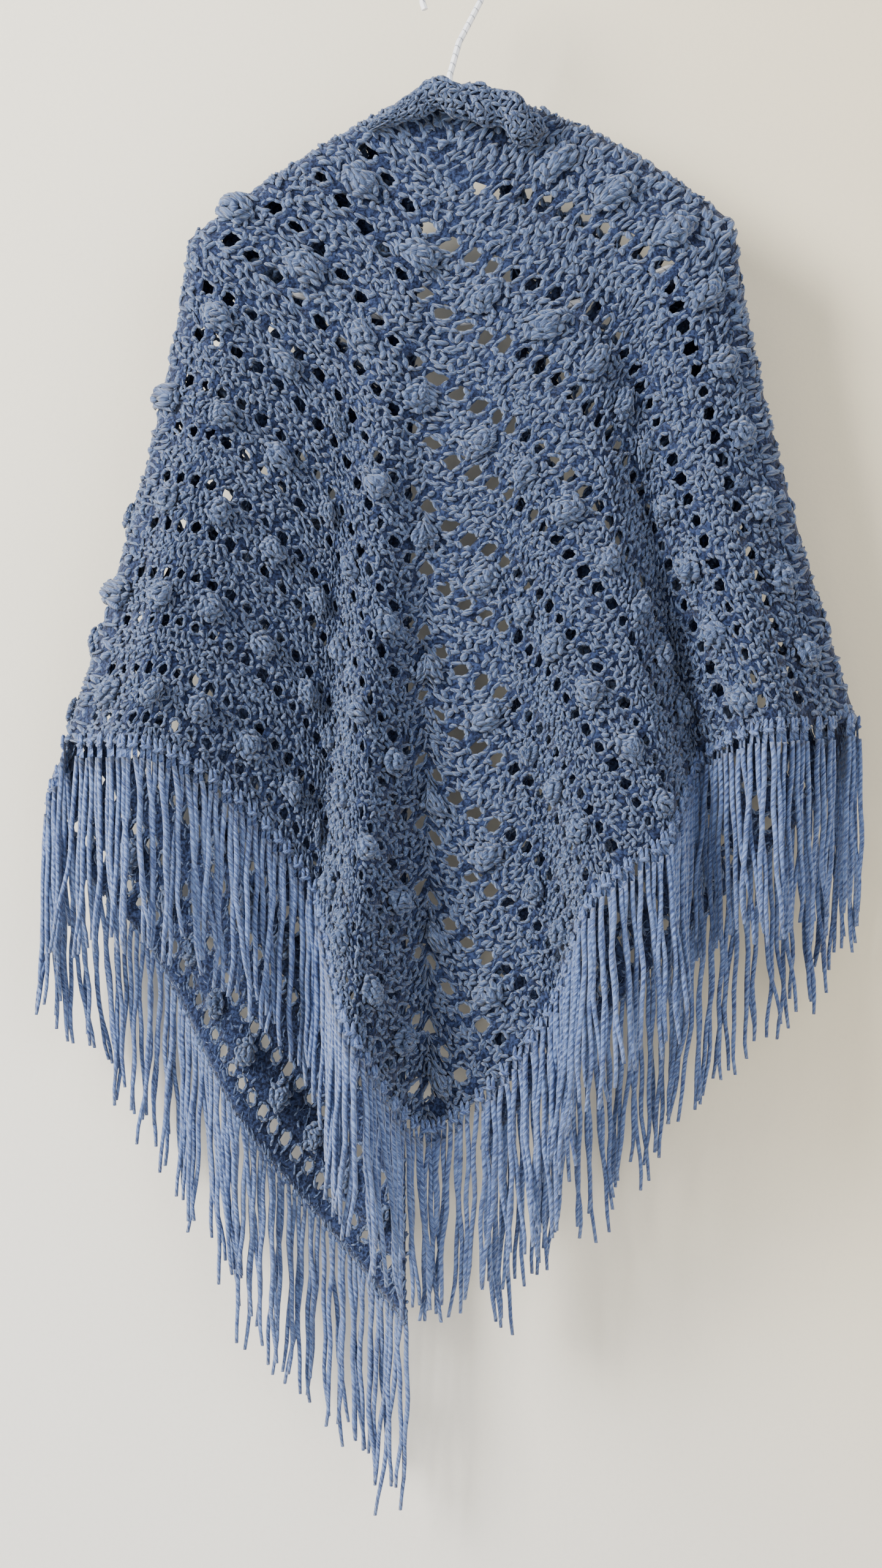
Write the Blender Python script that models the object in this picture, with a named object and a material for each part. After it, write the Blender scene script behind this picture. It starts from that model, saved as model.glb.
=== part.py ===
"""Crochet shawl, a fringed right triangle, hung like a cape on a wire hanger.

Metres, +Z up. The origin is the inner top of the hanger's hook, where it bears on a rail. +X is to
the right seen from the shawl's back, and the wall that it hangs against is on the +Y side.

The cloth is worked out flat, in cloth coordinates: a runs from the lower point along the left leg,
b along the right leg, and w is the height over the middle of the wall. The function drape then
hangs it: the middle hangs in front of the hanger, and a wing goes back over each arm.
"""

import math

import bmesh
import bpy
import numpy as np

# The shawl laid flat
LEG = 1.230  # each of the two equal, fringed sides
NECK_A = 0.566  # where the neck sits on the long side, measured along a
NECK_B = LEG - NECK_A
CLOTH = 0.0040  # wall of worsted crochet
SEAM = 0.0003  # gap left between neighbouring pieces

# The repeat of the stitch pattern, across the rows (b) and along them (a)
EDGE_ROW = 0.016
EYELET_ROW = 0.014
BOBBLE_ROW = 0.028
PLAIN_ROW = 0.043
EYELET_BAR = 0.020
EYELET_WIDTH = 0.014
BOBBLE_EVERY = 3  # columns from one bobble to the next
BOBBLE_TOP = 0.0055  # half the width of a bobble's crown
BOBBLE_HEIGHT = 0.0075
COLLAR_REACH = 0.180  # no bobbles under the collar, this far out along both legs together
EYELET_MARGIN = 0.010  # an eyelet nearer than this to a panel's edge stays closed
WHOLE_CELL = 0.8  # a cell of the pattern cut to less than this share stays plain
ROWS = (EYELET_ROW, BOBBLE_ROW, PLAIN_ROW)
COLUMNS = (EYELET_WIDTH, EYELET_BAR)

# The wire hanger
WIRE = 0.0024  # radius
HOOK_RADIUS = 0.0222  # to the wire's middle
HOOK_CENTRE = (0.0, WIRE - HOOK_RADIUS)
HOOK_START = math.radians(-6)
HOOK_END = math.radians(205)
HOOK_POINTS = 16
STEM_KINK = (0.0055, -0.0540)
APEX = (-0.0014, -0.0865)
STEM_FOOT = (APEX[0], APEX[1] + 0.0017)  # stands on the frame
STEM_RISE = 0.006  # straight up before it leans
LEFT_END = (-0.1905, -0.2050)
RIGHT_END = (0.2060, -0.1935)
LEFT_BULGE = 0.007  # how far each arm bows up over a straight line
RIGHT_BULGE = 0.013
ARM_CURVE = 1.2
BAR_DROP = 0.050  # the bottom bar's sag under its ends
BAR_POINTS = 11
END_RADIUS = 0.009
END_TURN = (10, 40, 75, 110, 150)  # degrees round each end loop, from the arm to the bar
END_SHORT = 0.005  # the wire's end loops stop this far inside the cloth's fold

# How the cloth passes over the wire and hangs
ARM = 0.230  # cloth that lies on one arm
WRAP = 0.0065  # radius of the cloth's middle round the wire
WRAP_FADE = 1.6  # how many of those radii past the wire the cloth faces its own way again
SIDE_FLARE = 1.35  # how late the fold below each arm's end swings out
ARM_ANGLES = (math.radians(58.2), math.radians(63.4))  # left and right, from straight down
START_PULL = 1.0  # how far the cloth keeps the direction it has at the neck ...
END_PULL = 0.95  # ... and the one that it has at the hem
FLARE = 0.9  # how much the cloth leans out at the hem, for each metre from the middle
FOLD_HOLD = 1.3  # how fast the arm's own shape fades away from the fold
FRONT_GROWTH = 1.6
WING_GROWTH = 1.1
TANGENT_STEP = 0.012  # steps that the fold's and the cloth's directions are measured over
CLOTH_STEP = 0.0005
TINY = 1e-6
PAST_HEM = 0.02  # share of the hem that stays smooth past each end
STRETCH = 1.5  # the cloth is pulled this much wider over the arms
NECK_REACH = 0.050  # ... and over the neck, this far out from it
NECK_NOTCH = 0.016  # cloth kept open round the hook's stem
VIEW_DISTANCE = 1.5  # the fold tables are true seen from this far off, level with VIEW_CENTRE
VIEW_CENTRE = (-0.008, -0.611)

# Each fringe: its panel and the leg that it hangs from
FRINGES = {
    "fringe_back_left": ("front", "a"),
    "fringe_back_right": ("front", "b"),
    "fringe_wing_left": ("left", "a"),
    "fringe_wing_right": ("right", "b"),
}
STRIP = 0.007
STRIP_GAP = 0.0015  # between the hem and the strip, enough for the twist of the hem
STRAND_PITCH = 0.0155
STRAND_WIDTH = 0.0055
STRAND_LENGTH = 0.142
STRAND_TAPER = 0.62
STRAND_STANDOFF = 0.002  # the strands hang this far outside the hem that they are knotted to
STRAND_BEND = 0.040  # where along its length a strand bends
STRAND_SWAY = 0.007
SWAY_LENGTH = 0.21  # along the hem, from one lean to the next
STRAND_UNEVEN = 0.05  # share by which the strands differ in length
UNEVEN_LENGTH = 0.016

YARN_COLOUR = (0.150, 0.230, 0.370, 1.0)
FRINGE_COLOUR = (0.200, 0.290, 0.440, 1.0)
WIRE_COLOUR = (0.850, 0.870, 0.880, 1.0)


def table(names, *rows):
    """A short table: the names of its columns, then a row for each fold."""
    return {name: np.array(column) for name, column in zip(names.split(), zip(*rows))}


# Each row is one fold line: its share of the hem, and where it meets the hem, seen in the hanger's
# plane. Depth is how far it stands out from that plane.
FRONT_FOLDS = table(
    "hem across depth height",
    (-1.00, -0.283, 0.000, -0.581),  # left fold
    (-0.86, -0.241, 0.072, -0.581),  # first ridge
    (-0.46, -0.103, 0.014, -0.693),  # valley
    (-0.21, -0.075, 0.086, -0.799),  # second ridge
    (0.00, -0.018, 0.022, -0.870),  # lower point
    (0.24, 0.077, 0.042, -0.776),
    (0.42, 0.108, 0.090, -0.694),  # third ridge
    (0.56, 0.160, 0.076, -0.652),
    (0.71, 0.184, 0.012, -0.597),  # deep valley
    (0.86, 0.238, 0.062, -0.570),  # fourth ridge
    (1.00, 0.298, 0.000, -0.567),  # right fold
)
LEFT_FOLDS = table(
    "hem across depth height",
    (0.00, -0.033, 0.012, -1.020),  # left tip
    (0.18, -0.092, 0.036, -0.947),
    (0.40, -0.163, 0.012, -0.858),
    (0.63, -0.219, 0.040, -0.746),
    (0.90, -0.301, 0.018, -0.628),
    (1.00, -0.283, 0.000, -0.581),  # left fold
)
RIGHT_FOLDS = table(
    "hem across depth height",
    (0.00, 0.022, 0.012, -0.887),  # right tip
    (0.31, 0.116, 0.040, -0.786),
    (0.59, 0.203, 0.014, -0.697),
    (0.84, 0.283, 0.038, -0.612),
    (1.00, 0.298, 0.000, -0.567),  # right fold
)
FOLDS = {"front": FRONT_FOLDS, "left": LEFT_FOLDS, "right": RIGHT_FOLDS}
INNER_BOW = {"left": -0.022, "right": 0.045}  # the wings' inner edges part below the neck

# The rolled collar: its middle line and its radius
COLLAR = table(
    "along across height radius",
    (0.00, -0.066, -0.124, 0.0040),
    (0.20, -0.038, -0.107, 0.0095),
    (0.42, -0.008, -0.097, 0.0130),
    (0.66, 0.028, -0.103, 0.0145),
    (0.90, 0.058, -0.119, 0.0140),
    (1.00, 0.067, -0.125, 0.0080),
)
COLLAR_POINTS = 14
COLLAR_CLEAR = 0.0028  # the panel swells this much where the collar rests on it


def read(columns, name, along, at):
    """A column of a table at any place along another, on a smooth curve that never overshoots."""
    x = columns[along]
    y = columns[name]
    rise = np.diff(y) / np.diff(x)
    both = rise[1:] * rise[:-1]
    total = np.where(both > 0, rise[1:] + rise[:-1], 1.0)
    slope = np.concatenate([rise[:1], np.where(both > 0, 2 * both / total, 0.0), rise[-1:]])
    i = np.clip(np.searchsorted(x, at) - 1, 0, len(x) - 2)
    step = x[i + 1] - x[i]
    t = (at - x[i]) / step
    start = y[i] * (1 + 2 * t) * (1 - t) ** 2 + slope[i] * step * t * (1 - t) ** 2
    return start + y[i + 1] * t * t * (3 - 2 * t) + slope[i + 1] * step * t * t * (t - 1)


def smooth(value):
    """From 0 to 1 with no corner at either end."""
    t = np.clip(value, 0.0, 1.0)
    return t * t * (3 - 2 * t)


def arm_point(share):
    """Where the arm carries the cloth, in the hanger's plane; the share is negative on the left."""
    size = np.abs(share)
    left = share < 0
    end_x = np.where(left, LEFT_END[0], RIGHT_END[0])
    end_z = np.where(left, LEFT_END[1], RIGHT_END[1])
    bulge = np.where(left, LEFT_BULGE, RIGHT_BULGE) * np.sin(np.pi * np.minimum(size, 1) ** ARM_CURVE)
    return APEX[0] + (end_x - APEX[0]) * size, APEX[1] + (end_z - APEX[1]) * size + bulge


def fold_path(left, along):
    """The fold over an arm and then down the side, at a distance from the neck along the cloth."""
    reach = np.where(left, NECK_B, NECK_A)
    x, z = arm_point(np.where(left, -1.0, 1.0) * np.clip(along / ARM, TINY, 1.0))
    down = np.clip((along - ARM) / (reach - ARM), 0.0, 1.0)
    end_x = np.where(left, FRONT_FOLDS["across"][0], FRONT_FOLDS["across"][-1])
    end_z = np.where(left, FRONT_FOLDS["height"][0], FRONT_FOLDS["height"][-1])
    return x + (end_x - x) * down**SIDE_FLARE, z + (end_z - z) * down


def ray(angle, length, end_x, end_z, share):
    """A line of the cloth that leaves the neck at an angle and bends down to its place on the hem."""
    start = share * (1 - share) ** 2 * START_PULL * length
    stop = share**2 * (share - 1) * END_PULL * length
    middle = share**2 * (3 - 2 * share)
    x = APEX[0] + start * np.sin(angle) + middle * (end_x - APEX[0]) + stop * FLARE * end_x
    z = APEX[1] - start * np.cos(angle) + middle * (end_z - APEX[1]) - stop
    return x, z


def hang(panel, a, b):
    """The middle of the draped cloth at the cloth coordinates a and b.

    It also returns the way that the cloth faces round the wire, and how far that way still holds.
    """
    in_a = NECK_A - a
    in_b = NECK_B - b
    if panel == "front":
        down = np.maximum(np.maximum(in_a / NECK_A, in_b / NECK_B), TINY)
        on_left_leg = in_b / NECK_B >= in_a / NECK_A
        hem = np.where(on_left_leg, in_a / down / NECK_A - 1, 1 - in_b / down / NECK_B)
        left = in_a < in_b
        seam = np.minimum(in_a, in_b)
        side = -1.0
        nearness_to_fold = np.abs(np.arctan2(in_a - in_b, in_a + in_b)) / (math.pi / 4)
    elif panel == "left":
        down = np.maximum(in_b / NECK_B, TINY)
        hem = 1 + in_a / down / NECK_B
        left = np.ones(a.shape, bool)
        seam = -in_a
        side = 1.0
        nearness_to_fold = 2 - np.arctan2(in_b - in_a, in_a + in_b) / (math.pi / 4)
    else:
        down = np.maximum(in_a / NECK_A, TINY)
        hem = 1 + in_b / down / NECK_A
        left = np.zeros(a.shape, bool)
        seam = -in_b
        side = 1.0
        nearness_to_fold = 2 - np.arctan2(in_a - in_b, in_a + in_b) / (math.pi / 4)
    hem = np.clip(hem, FOLDS[panel]["hem"][0] - PAST_HEM, 1 + PAST_HEM)
    share = np.minimum(down, 1.0)
    out = np.where(left, -1.0, 1.0)
    along = np.hypot(in_a, in_b)
    arm_angle = out * np.where(left, *ARM_ANGLES)
    end_x = read(FOLDS[panel], "across", "hem", hem)
    end_z = read(FOLDS[panel], "height", "hem", hem)
    x, z = ray(arm_angle * nearness_to_fold, along / down, end_x, end_z, down)
    reach = np.where(left, NECK_B, NECK_A)
    at_fold = np.clip(along / reach, 0.0, 1.0)
    fold_x, fold_z = fold_path(left, along)
    free_x, free_z = ray(arm_angle, reach, *fold_path(left, reach), at_fold)
    hold = np.maximum(nearness_to_fold, 0.0) ** FOLD_HOLD
    x = x + (fold_x - free_x) * hold
    z = z + (fold_z - free_z) * hold
    if panel != "front":
        x = x + INNER_BOW[panel] * (1 - nearness_to_fold) ** 2 * np.sin(math.pi * np.sqrt(share))
    growth = FRONT_GROWTH if panel == "front" else WING_GROWTH
    round_wire = np.clip(seam / WRAP, -math.pi / 2, math.pi / 2)
    y = side * (read(FOLDS[panel], "depth", "hem", hem) * down**growth + WRAP * np.sin(round_wire))
    nearness = 1 + y / VIEW_DISTANCE
    x = VIEW_CENTRE[0] + (x - VIEW_CENTRE[0]) * nearness
    z = VIEW_CENTRE[1] + (z - VIEW_CENTRE[1]) * nearness
    beside = np.clip(along, TANGENT_STEP, reach - TANGENT_STEP)
    before = fold_path(left, beside - TANGENT_STEP)
    after = fold_path(left, beside + TANGENT_STEP)
    run_x, run_z = after[0] - before[0], after[1] - before[1]
    length = np.hypot(run_x, run_z)
    at_neck = np.clip(1 - along / NECK_REACH, 0.0, 1.0)
    over_arm = (1 - share) ** 2 * smooth(nearness_to_fold + at_neck)
    wrapped = STRETCH * WRAP * np.maximum(round_wire, 0) * over_arm
    lift = WRAP * np.cos(round_wire) + wrapped
    x = x - out * lift * run_z / length
    z = z + out * lift * run_x / length
    up = np.cos(round_wire) * out / length
    facing = np.stack([-up * run_z, side * np.sin(round_wire), up * run_x], axis=-1)
    return np.stack([x, y, z], axis=-1), facing, smooth(1.5 - seam / WRAP / WRAP_FADE)


def drape(panel, a, b, w):
    """Points of the wall at the height w over its middle, positive on the garment's outside."""
    middle, facing, at_wire = hang(panel, a, b)
    along_a = hang(panel, a + CLOTH_STEP, b)[0] - hang(panel, a - CLOTH_STEP, b)[0]
    along_b = hang(panel, a, b + CLOTH_STEP)[0] - hang(panel, a, b - CLOTH_STEP)[0]
    outward = np.cross(along_b, along_a)
    outward /= np.linalg.norm(outward, axis=-1, keepdims=True)
    outward = outward + (facing - outward) * at_wire[..., None]
    outward /= np.linalg.norm(outward, axis=-1, keepdims=True)
    return middle + outward * w[..., None]


def finish(name, colour, roughness, metallic, bm):
    """Makes the object of a finished mesh, with its own material."""
    mesh = bpy.data.meshes.new(name)
    bm.to_mesh(mesh)
    bm.free()
    place(bpy.data.objects.new(name, mesh), colour, roughness, metallic)
    mesh.shade_smooth()


def place(obj, colour, roughness, metallic):
    """Links an object to the shawl's collection and gives it its material."""
    material = bpy.data.materials.new(obj.name)
    material.use_nodes = True
    shader = material.node_tree.nodes["Principled BSDF"]
    shader.inputs["Base Color"].default_value = colour
    shader.inputs["Roughness"].default_value = roughness
    shader.inputs["Metallic"].default_value = metallic
    obj.data.materials.append(material)
    SHAWL.objects.link(obj)


def lines_between(first, last, widths, extra):
    """Lines of the pattern from first to last, with the extra ones in place of any close by."""
    kept = [first, last, *extra]
    at = EDGE_ROW
    turn = 0
    while at < last - EYELET_MARGIN / 2:
        if at > first and min(abs(at - line) for line in kept) > EYELET_MARGIN / 2:
            kept.append(at)
        at += widths[turn % len(widths)]
        turn += 1
    return np.array(sorted(kept))


def in_turn(at, widths, wanted):
    """Whether a place lies in the wanted one of the widths that take turns."""
    rest = (at - EDGE_ROW) % sum(widths)
    start = sum(widths[:wanted])
    return at > EDGE_ROW and start < rest < start + widths[wanted]


def flat_sheet(b_lines, a_lines):
    """A flat sheet with the given lines, b across and a up."""
    bm = bmesh.new()
    across = len(b_lines) - 1
    up = len(a_lines) - 1
    bmesh.ops.create_grid(bm, x_segments=across, y_segments=up, size=0.5)
    for vert in bm.verts:
        b = b_lines[round((vert.co.x + 0.5) * across)]
        a = a_lines[round((vert.co.y + 0.5) * up)]
        vert.co = (b, a, 0.0)
    return bm


def trim(bm, through, direction):
    """Cuts a flat sheet along a line and drops what lies beyond it."""
    bmesh.ops.bisect_plane(
        bm,
        geom=bm.verts[:] + bm.edges[:] + bm.faces[:],
        dist=1e-5,
        plane_co=through,
        plane_no=direction,
        clear_outer=True,
    )


def thicken(bm):
    """Gives a flat sheet the wall of the cloth, half of it on each side."""
    bmesh.ops.solidify(bm, geom=bm.faces[:], thickness=CLOTH)
    middle = sum(vert.co.z for vert in bm.verts) / len(bm.verts)
    for vert in bm.verts:
        vert.co.z = CLOTH / 2 if vert.co.z > middle else -CLOTH / 2
    bmesh.ops.recalc_face_normals(bm, faces=bm.faces)


def open_eyelets(bm, inside):
    """Cuts the largest gaps of each repeat through the flat sheet."""
    eyelets = []
    for face in bm.faces:
        middle = face.calc_center_median()
        size = face.calc_area() / (EYELET_ROW * EYELET_WIDTH)
        in_row = in_turn(middle.x, ROWS, 0) and in_turn(middle.y, COLUMNS, 0)
        if in_row and size > WHOLE_CELL and inside(middle.y, middle.x):
            eyelets.append(face)
    bmesh.ops.delete(bm, geom=eyelets, context="FACES")


def raise_bobbles(bm, inside):
    """Raises the bobbles in the outer face of the wall, over a plain inside."""
    cells = []
    for face in bm.faces:
        middle = face.calc_center_median()
        outer = middle.z > CLOTH / 4 and len(face.verts) == 4
        if outer and in_turn(middle.x, ROWS, 1) and inside(middle.y, middle.x):
            column = int((middle.y - EDGE_ROW) / (sum(COLUMNS) / 2) + 1)
            row = int((middle.x - EDGE_ROW) / sum(ROWS))
            whole = face.calc_area() > EYELET_WIDTH * BOBBLE_ROW * WHOLE_CELL
            if whole and (column + row) % BOBBLE_EVERY == 0:
                cells.append(face)
    bmesh.ops.inset_individual(bm, faces=cells, thickness=BOBBLE_TOP / 2)
    for face in cells:
        middle = face.calc_center_median()
        for vert in face.verts:
            vert.co.x = middle.x + math.copysign(BOBBLE_TOP, vert.co.x - middle.x)
            vert.co.y = middle.y + math.copysign(BOBBLE_TOP, vert.co.y - middle.y)
            vert.co.z = CLOTH / 2 + BOBBLE_HEIGHT


def hang_mesh(bm, panel):
    """Moves a flat mesh to where the drape hangs it."""
    flat = np.array([vert.co[:] for vert in bm.verts])
    for vert, point in zip(bm.verts, drape(panel, flat[:, 1], flat[:, 0], flat[:, 2])):
        vert.co = point


def panel_lines(panel):
    """The lines of a panel's flat sheet, those of b and those of a, finer where it rounds the wire."""
    wrap = (SEAM / 2 + WRAP * math.pi / 4, SEAM / 2 + WRAP * math.pi / 2)
    if panel == "front":
        return (
            lines_between(0.0, NECK_B - SEAM / 2, ROWS, [NECK_B - step for step in wrap]),
            lines_between(0.0, NECK_A - SEAM / 2, COLUMNS, [NECK_A - step for step in wrap]),
        )
    if panel == "left":
        return (
            lines_between(0.0, NECK_B - NECK_NOTCH, ROWS, []),
            lines_between(NECK_A + SEAM / 2, LEG, COLUMNS, [NECK_A + step for step in wrap]),
        )
    return (
        lines_between(NECK_B + SEAM / 2, LEG, ROWS, [NECK_B + step for step in wrap]),
        lines_between(0.0, NECK_A - NECK_NOTCH, COLUMNS, []),
    )


def from_seam(panel, a, b):
    """How far a place lies from the panel's nearest fold over an arm."""
    return {"front": min(NECK_A - a, NECK_B - b), "left": a - NECK_A, "right": b - NECK_B}[panel]


def make_panel(name, panel):
    """A panel of the shawl: the middle, or a wing from its fold to its free inner edge."""

    def inside(a, b):
        clear = from_seam(panel, a, b) > WRAP * math.pi / 2 + EYELET_MARGIN
        return clear and a + b < LEG - 2 * EYELET_MARGIN

    def bobble_place(a, b):
        return inside(a, b) and NECK_A - a + NECK_B - b > COLLAR_REACH

    bm = flat_sheet(*panel_lines(panel))
    open_eyelets(bm, inside)
    if panel == "front":
        trim(bm, (NECK_B - NECK_NOTCH, NECK_A, 0.0), (1.0, 1.0, 0.0))
    else:
        trim(bm, (LEG, 0.0, 0.0), (1.0, 1.0, 0.0))
    thicken(bm)
    raise_bobbles(bm, bobble_place if panel == "front" else inside)
    hang_mesh(bm, panel)
    finish(name, YARN_COLOUR, 0.9, 0.0, bm)


def strip_point(panel, leg, lines, along, below, w):
    """A point of the strip under the hem, straight between the panel's own lines there."""
    i = np.clip(np.searchsorted(lines, along, side="right") - 1, 0, len(lines) - 2)
    share = ((along - lines[i]) / (lines[i + 1] - lines[i]))[:, None]
    if leg == "a":
        first = drape(panel, lines[i], -below, w)
        second = drape(panel, lines[i + 1], -below, w)
    else:
        first = drape(panel, -below, lines[i], w)
        second = drape(panel, -below, lines[i + 1], w)
    return first * (1 - share) + second * share


def hang_fringe(flat, panel, leg, lines, roots):
    """Places the strip below the hem and lets the strands hang straight down from it."""
    along, below, w = flat[:, 0], -flat[:, 1], flat[:, 2]
    in_strip = strip_point(panel, leg, lines, along, np.minimum(below, STRIP_GAP + STRIP), w)
    root = roots[np.abs(along[:, None] - roots[None, :]).argmin(axis=1)]
    zero = np.zeros(len(root))
    foot = zero + STRIP_GAP + STRIP
    start = strip_point(panel, leg, lines, root, foot, zero)
    tangent = strip_point(panel, leg, lines, root + CLOTH_STEP, foot, zero) - start
    tangent[:, 2] = 0.0
    tangent /= np.linalg.norm(tangent, axis=1, keepdims=True)
    outward = np.stack([tangent[:, 1], -tangent[:, 0], zero], axis=1)
    facing = (strip_point(panel, leg, lines, root, foot, zero + CLOTH) - start) * outward
    outward *= np.sign(facing.sum(axis=1))[:, None]
    fall = np.maximum(below - STRIP_GAP - STRIP, 0.0)
    share = fall / STRAND_LENGTH
    width = 1 - (1 - STRAND_TAPER) * share
    standoff = w * width + STRAND_STANDOFF
    uneven = 1 + STRAND_UNEVEN * np.sin(2 * math.pi * root / UNEVEN_LENGTH)
    hanging = start + tangent * ((along - root) * width)[:, None] + outward * standoff[:, None]
    hanging[:, 0] += STRAND_SWAY * share**2 * np.sin(2 * math.pi * root / SWAY_LENGTH)
    hanging[:, 2] -= fall * uneven
    return np.where((fall > 0)[:, None], hanging, in_strip)


def make_fringe(name, panel, leg):
    """A narrow strip along a hem with its strands, one closed body."""
    lines = panel_lines(panel)[1 if leg == "a" else 0]
    starts = []
    for first, second in zip(lines[:-1], lines[1:]):
        count = round((second - first) / STRAND_PITCH)
        starts += [first + (second - first) * turn / count for turn in range(count)]
    starts = np.array(starts)
    roots = starts + STRAND_WIDTH / 2
    edges = np.unique(np.round(np.concatenate([lines, starts, starts + STRAND_WIDTH]), 6))
    bm = flat_sheet(edges, np.array([-STRIP_GAP - STRIP, -STRIP_GAP]))
    thicken(bm)
    tips = []
    for face in bm.faces:
        middle = face.calc_center_median()
        under = abs(face.normal.y) > 0.9 and middle.y < -STRIP
        if under and np.abs(roots - middle.x).min() < STRAND_WIDTH / 4:
            tips.append(face)
    for drop in (STRAND_BEND, STRAND_LENGTH - STRAND_BEND):
        tips = bmesh.ops.extrude_discrete_faces(bm, faces=tips)["faces"]
        ends = {vert for face in tips for vert in face.verts}
        bmesh.ops.translate(bm, verts=list(ends), vec=(0.0, -drop, 0.0))
    flat = np.array([vert.co[:] for vert in bm.verts])
    for vert, point in zip(bm.verts, hang_fringe(flat, panel, leg, lines, roots)):
        vert.co = point
    if leg == "a":
        bmesh.ops.reverse_faces(bm, faces=bm.faces)
    finish(name, FRINGE_COLOUR, 0.9, 0.0, bm)


def wire_object(name, points, closed):
    """A round wire through points in the hanger's plane."""
    curve = bpy.data.curves.new(name, "CURVE")
    curve.dimensions = "3D"
    curve.bevel_depth = WIRE
    curve.bevel_resolution = 2
    curve.use_fill_caps = not closed
    spline = curve.splines.new("POLY")
    spline.points.add(len(points) - 1)
    for point, (x, z) in zip(spline.points, points):
        point.co = (x, 0.0, z, 1.0)
    spline.use_cyclic_u = closed
    place(bpy.data.objects.new(name, curve), WIRE_COLOUR, 0.35, 0.0)


def make_hook():
    """The hook, its leaning shank and the stem that comes out of the collar."""
    points = [STEM_FOOT, (STEM_FOOT[0], STEM_FOOT[1] + STEM_RISE), STEM_KINK]
    for angle in np.linspace(HOOK_START, HOOK_END, HOOK_POINTS):
        x = HOOK_CENTRE[0] + HOOK_RADIUS * math.cos(angle)
        z = HOOK_CENTRE[1] + HOOK_RADIUS * math.sin(angle)
        points.append((x, z))
    wire_object("hanger_hook", points, False)


def end_loop(end, side):
    """The round turn at an arm's end, from the arm down to the bottom bar."""
    middle = (end[0] - side * (END_RADIUS + END_SHORT), end[1] - END_RADIUS * 0.8)
    turns = np.radians(90 - side * np.array(END_TURN))
    x = middle[0] + END_RADIUS * np.cos(turns)
    return list(zip(x, middle[1] + END_RADIUS * np.sin(turns)))


def make_frame():
    """The hanger's closed wire frame: two arms, a loop at each end and the bowed bottom bar."""
    shares = np.linspace(0.06, 0.90, 7)
    right_arm = list(zip(*arm_point(shares)))
    left_arm = list(zip(*arm_point(-shares)))
    right_loop = end_loop(RIGHT_END, 1)
    left_loop = end_loop(LEFT_END, -1)
    start, end = right_loop[-1], left_loop[-1]
    bar = []
    for t in np.linspace(0.08, 0.92, BAR_POINTS):
        x = start[0] + (end[0] - start[0]) * t
        z = start[1] + (end[1] - start[1]) * t - BAR_DROP * math.sin(math.pi * t)
        bar.append((x, z))
    points = [(APEX[0], APEX[1] - 0.001)]
    points += right_arm + right_loop + bar + left_loop[::-1] + left_arm[::-1]
    wire_object("hanger_frame", points, True)


def make_collar():
    """The rolled edge at the neck, which lies on the panel just below the hook."""
    curve = bpy.data.curves.new("neck_roll", "CURVE")
    curve.dimensions = "3D"
    curve.bevel_depth = 1.0
    curve.bevel_resolution = 4
    curve.use_fill_caps = True
    spline = curve.splines.new("POLY")
    spline.points.add(COLLAR_POINTS - 1)
    on_panel = WRAP + CLOTH / 2 + COLLAR_CLEAR
    for point, t in zip(spline.points, np.linspace(0.0, 1.0, COLLAR_POINTS)):
        across = read(COLLAR, "across", "along", t)
        height = read(COLLAR, "height", "along", t)
        radius = read(COLLAR, "radius", "along", t)
        point.co = (across, -on_panel - radius, height, 1.0)
        point.radius = radius
    place(bpy.data.objects.new("neck_roll", curve), YARN_COLOUR, 0.9, 0.0)


for old in list(bpy.data.objects):
    bpy.data.objects.remove(old, do_unlink=True)
SHAWL = bpy.data.collections.new("crochet_shawl")
bpy.context.scene.collection.children.link(SHAWL)
make_hook()
make_frame()
make_panel("back_panel", "front")
make_panel("wing_left", "left")
make_panel("wing_right", "right")
make_collar()
for fringe, (fringe_panel, fringe_leg) in FRINGES.items():
    make_fringe(fringe, fringe_panel, fringe_leg)
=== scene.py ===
"""Crochet shawl, a fringed right triangle, hung like a cape on a wire hanger.

The cloth is worked out flat, in cloth coordinates: a runs from the lower point along the left leg,
b along the right leg, and w is the height over the middle of the cloth. The function drape hangs
it: the middle hangs in front of the hanger, and a wing goes back over each arm. Every stitch is
laid out flat and then goes through that function, so that the yarn follows the folds.
"""

import math

import bmesh
import bpy
import numpy as np
from mathutils import Matrix, Vector


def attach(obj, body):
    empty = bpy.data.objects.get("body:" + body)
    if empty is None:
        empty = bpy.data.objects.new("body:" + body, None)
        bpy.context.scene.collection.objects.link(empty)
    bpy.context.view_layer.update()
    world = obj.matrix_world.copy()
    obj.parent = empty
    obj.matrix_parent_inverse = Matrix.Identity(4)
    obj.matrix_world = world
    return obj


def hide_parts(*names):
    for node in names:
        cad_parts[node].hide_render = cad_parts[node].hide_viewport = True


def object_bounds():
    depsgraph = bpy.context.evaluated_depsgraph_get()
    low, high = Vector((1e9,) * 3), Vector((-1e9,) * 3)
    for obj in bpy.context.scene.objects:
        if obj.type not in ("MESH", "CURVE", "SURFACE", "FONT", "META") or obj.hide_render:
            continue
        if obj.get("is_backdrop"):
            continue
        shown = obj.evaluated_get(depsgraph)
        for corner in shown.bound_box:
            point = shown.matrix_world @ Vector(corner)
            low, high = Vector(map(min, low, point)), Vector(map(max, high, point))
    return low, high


CHANCE = np.random.default_rng(11)

# The shawl laid flat
LEG = 1.230  # each of the two equal, fringed sides
NECK_A = 0.566  # where the neck sits on the long side, measured along a
NECK_B = LEG - NECK_A
NECK_NOTCH = 0.016  # cloth kept open round the hook's stem

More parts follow.
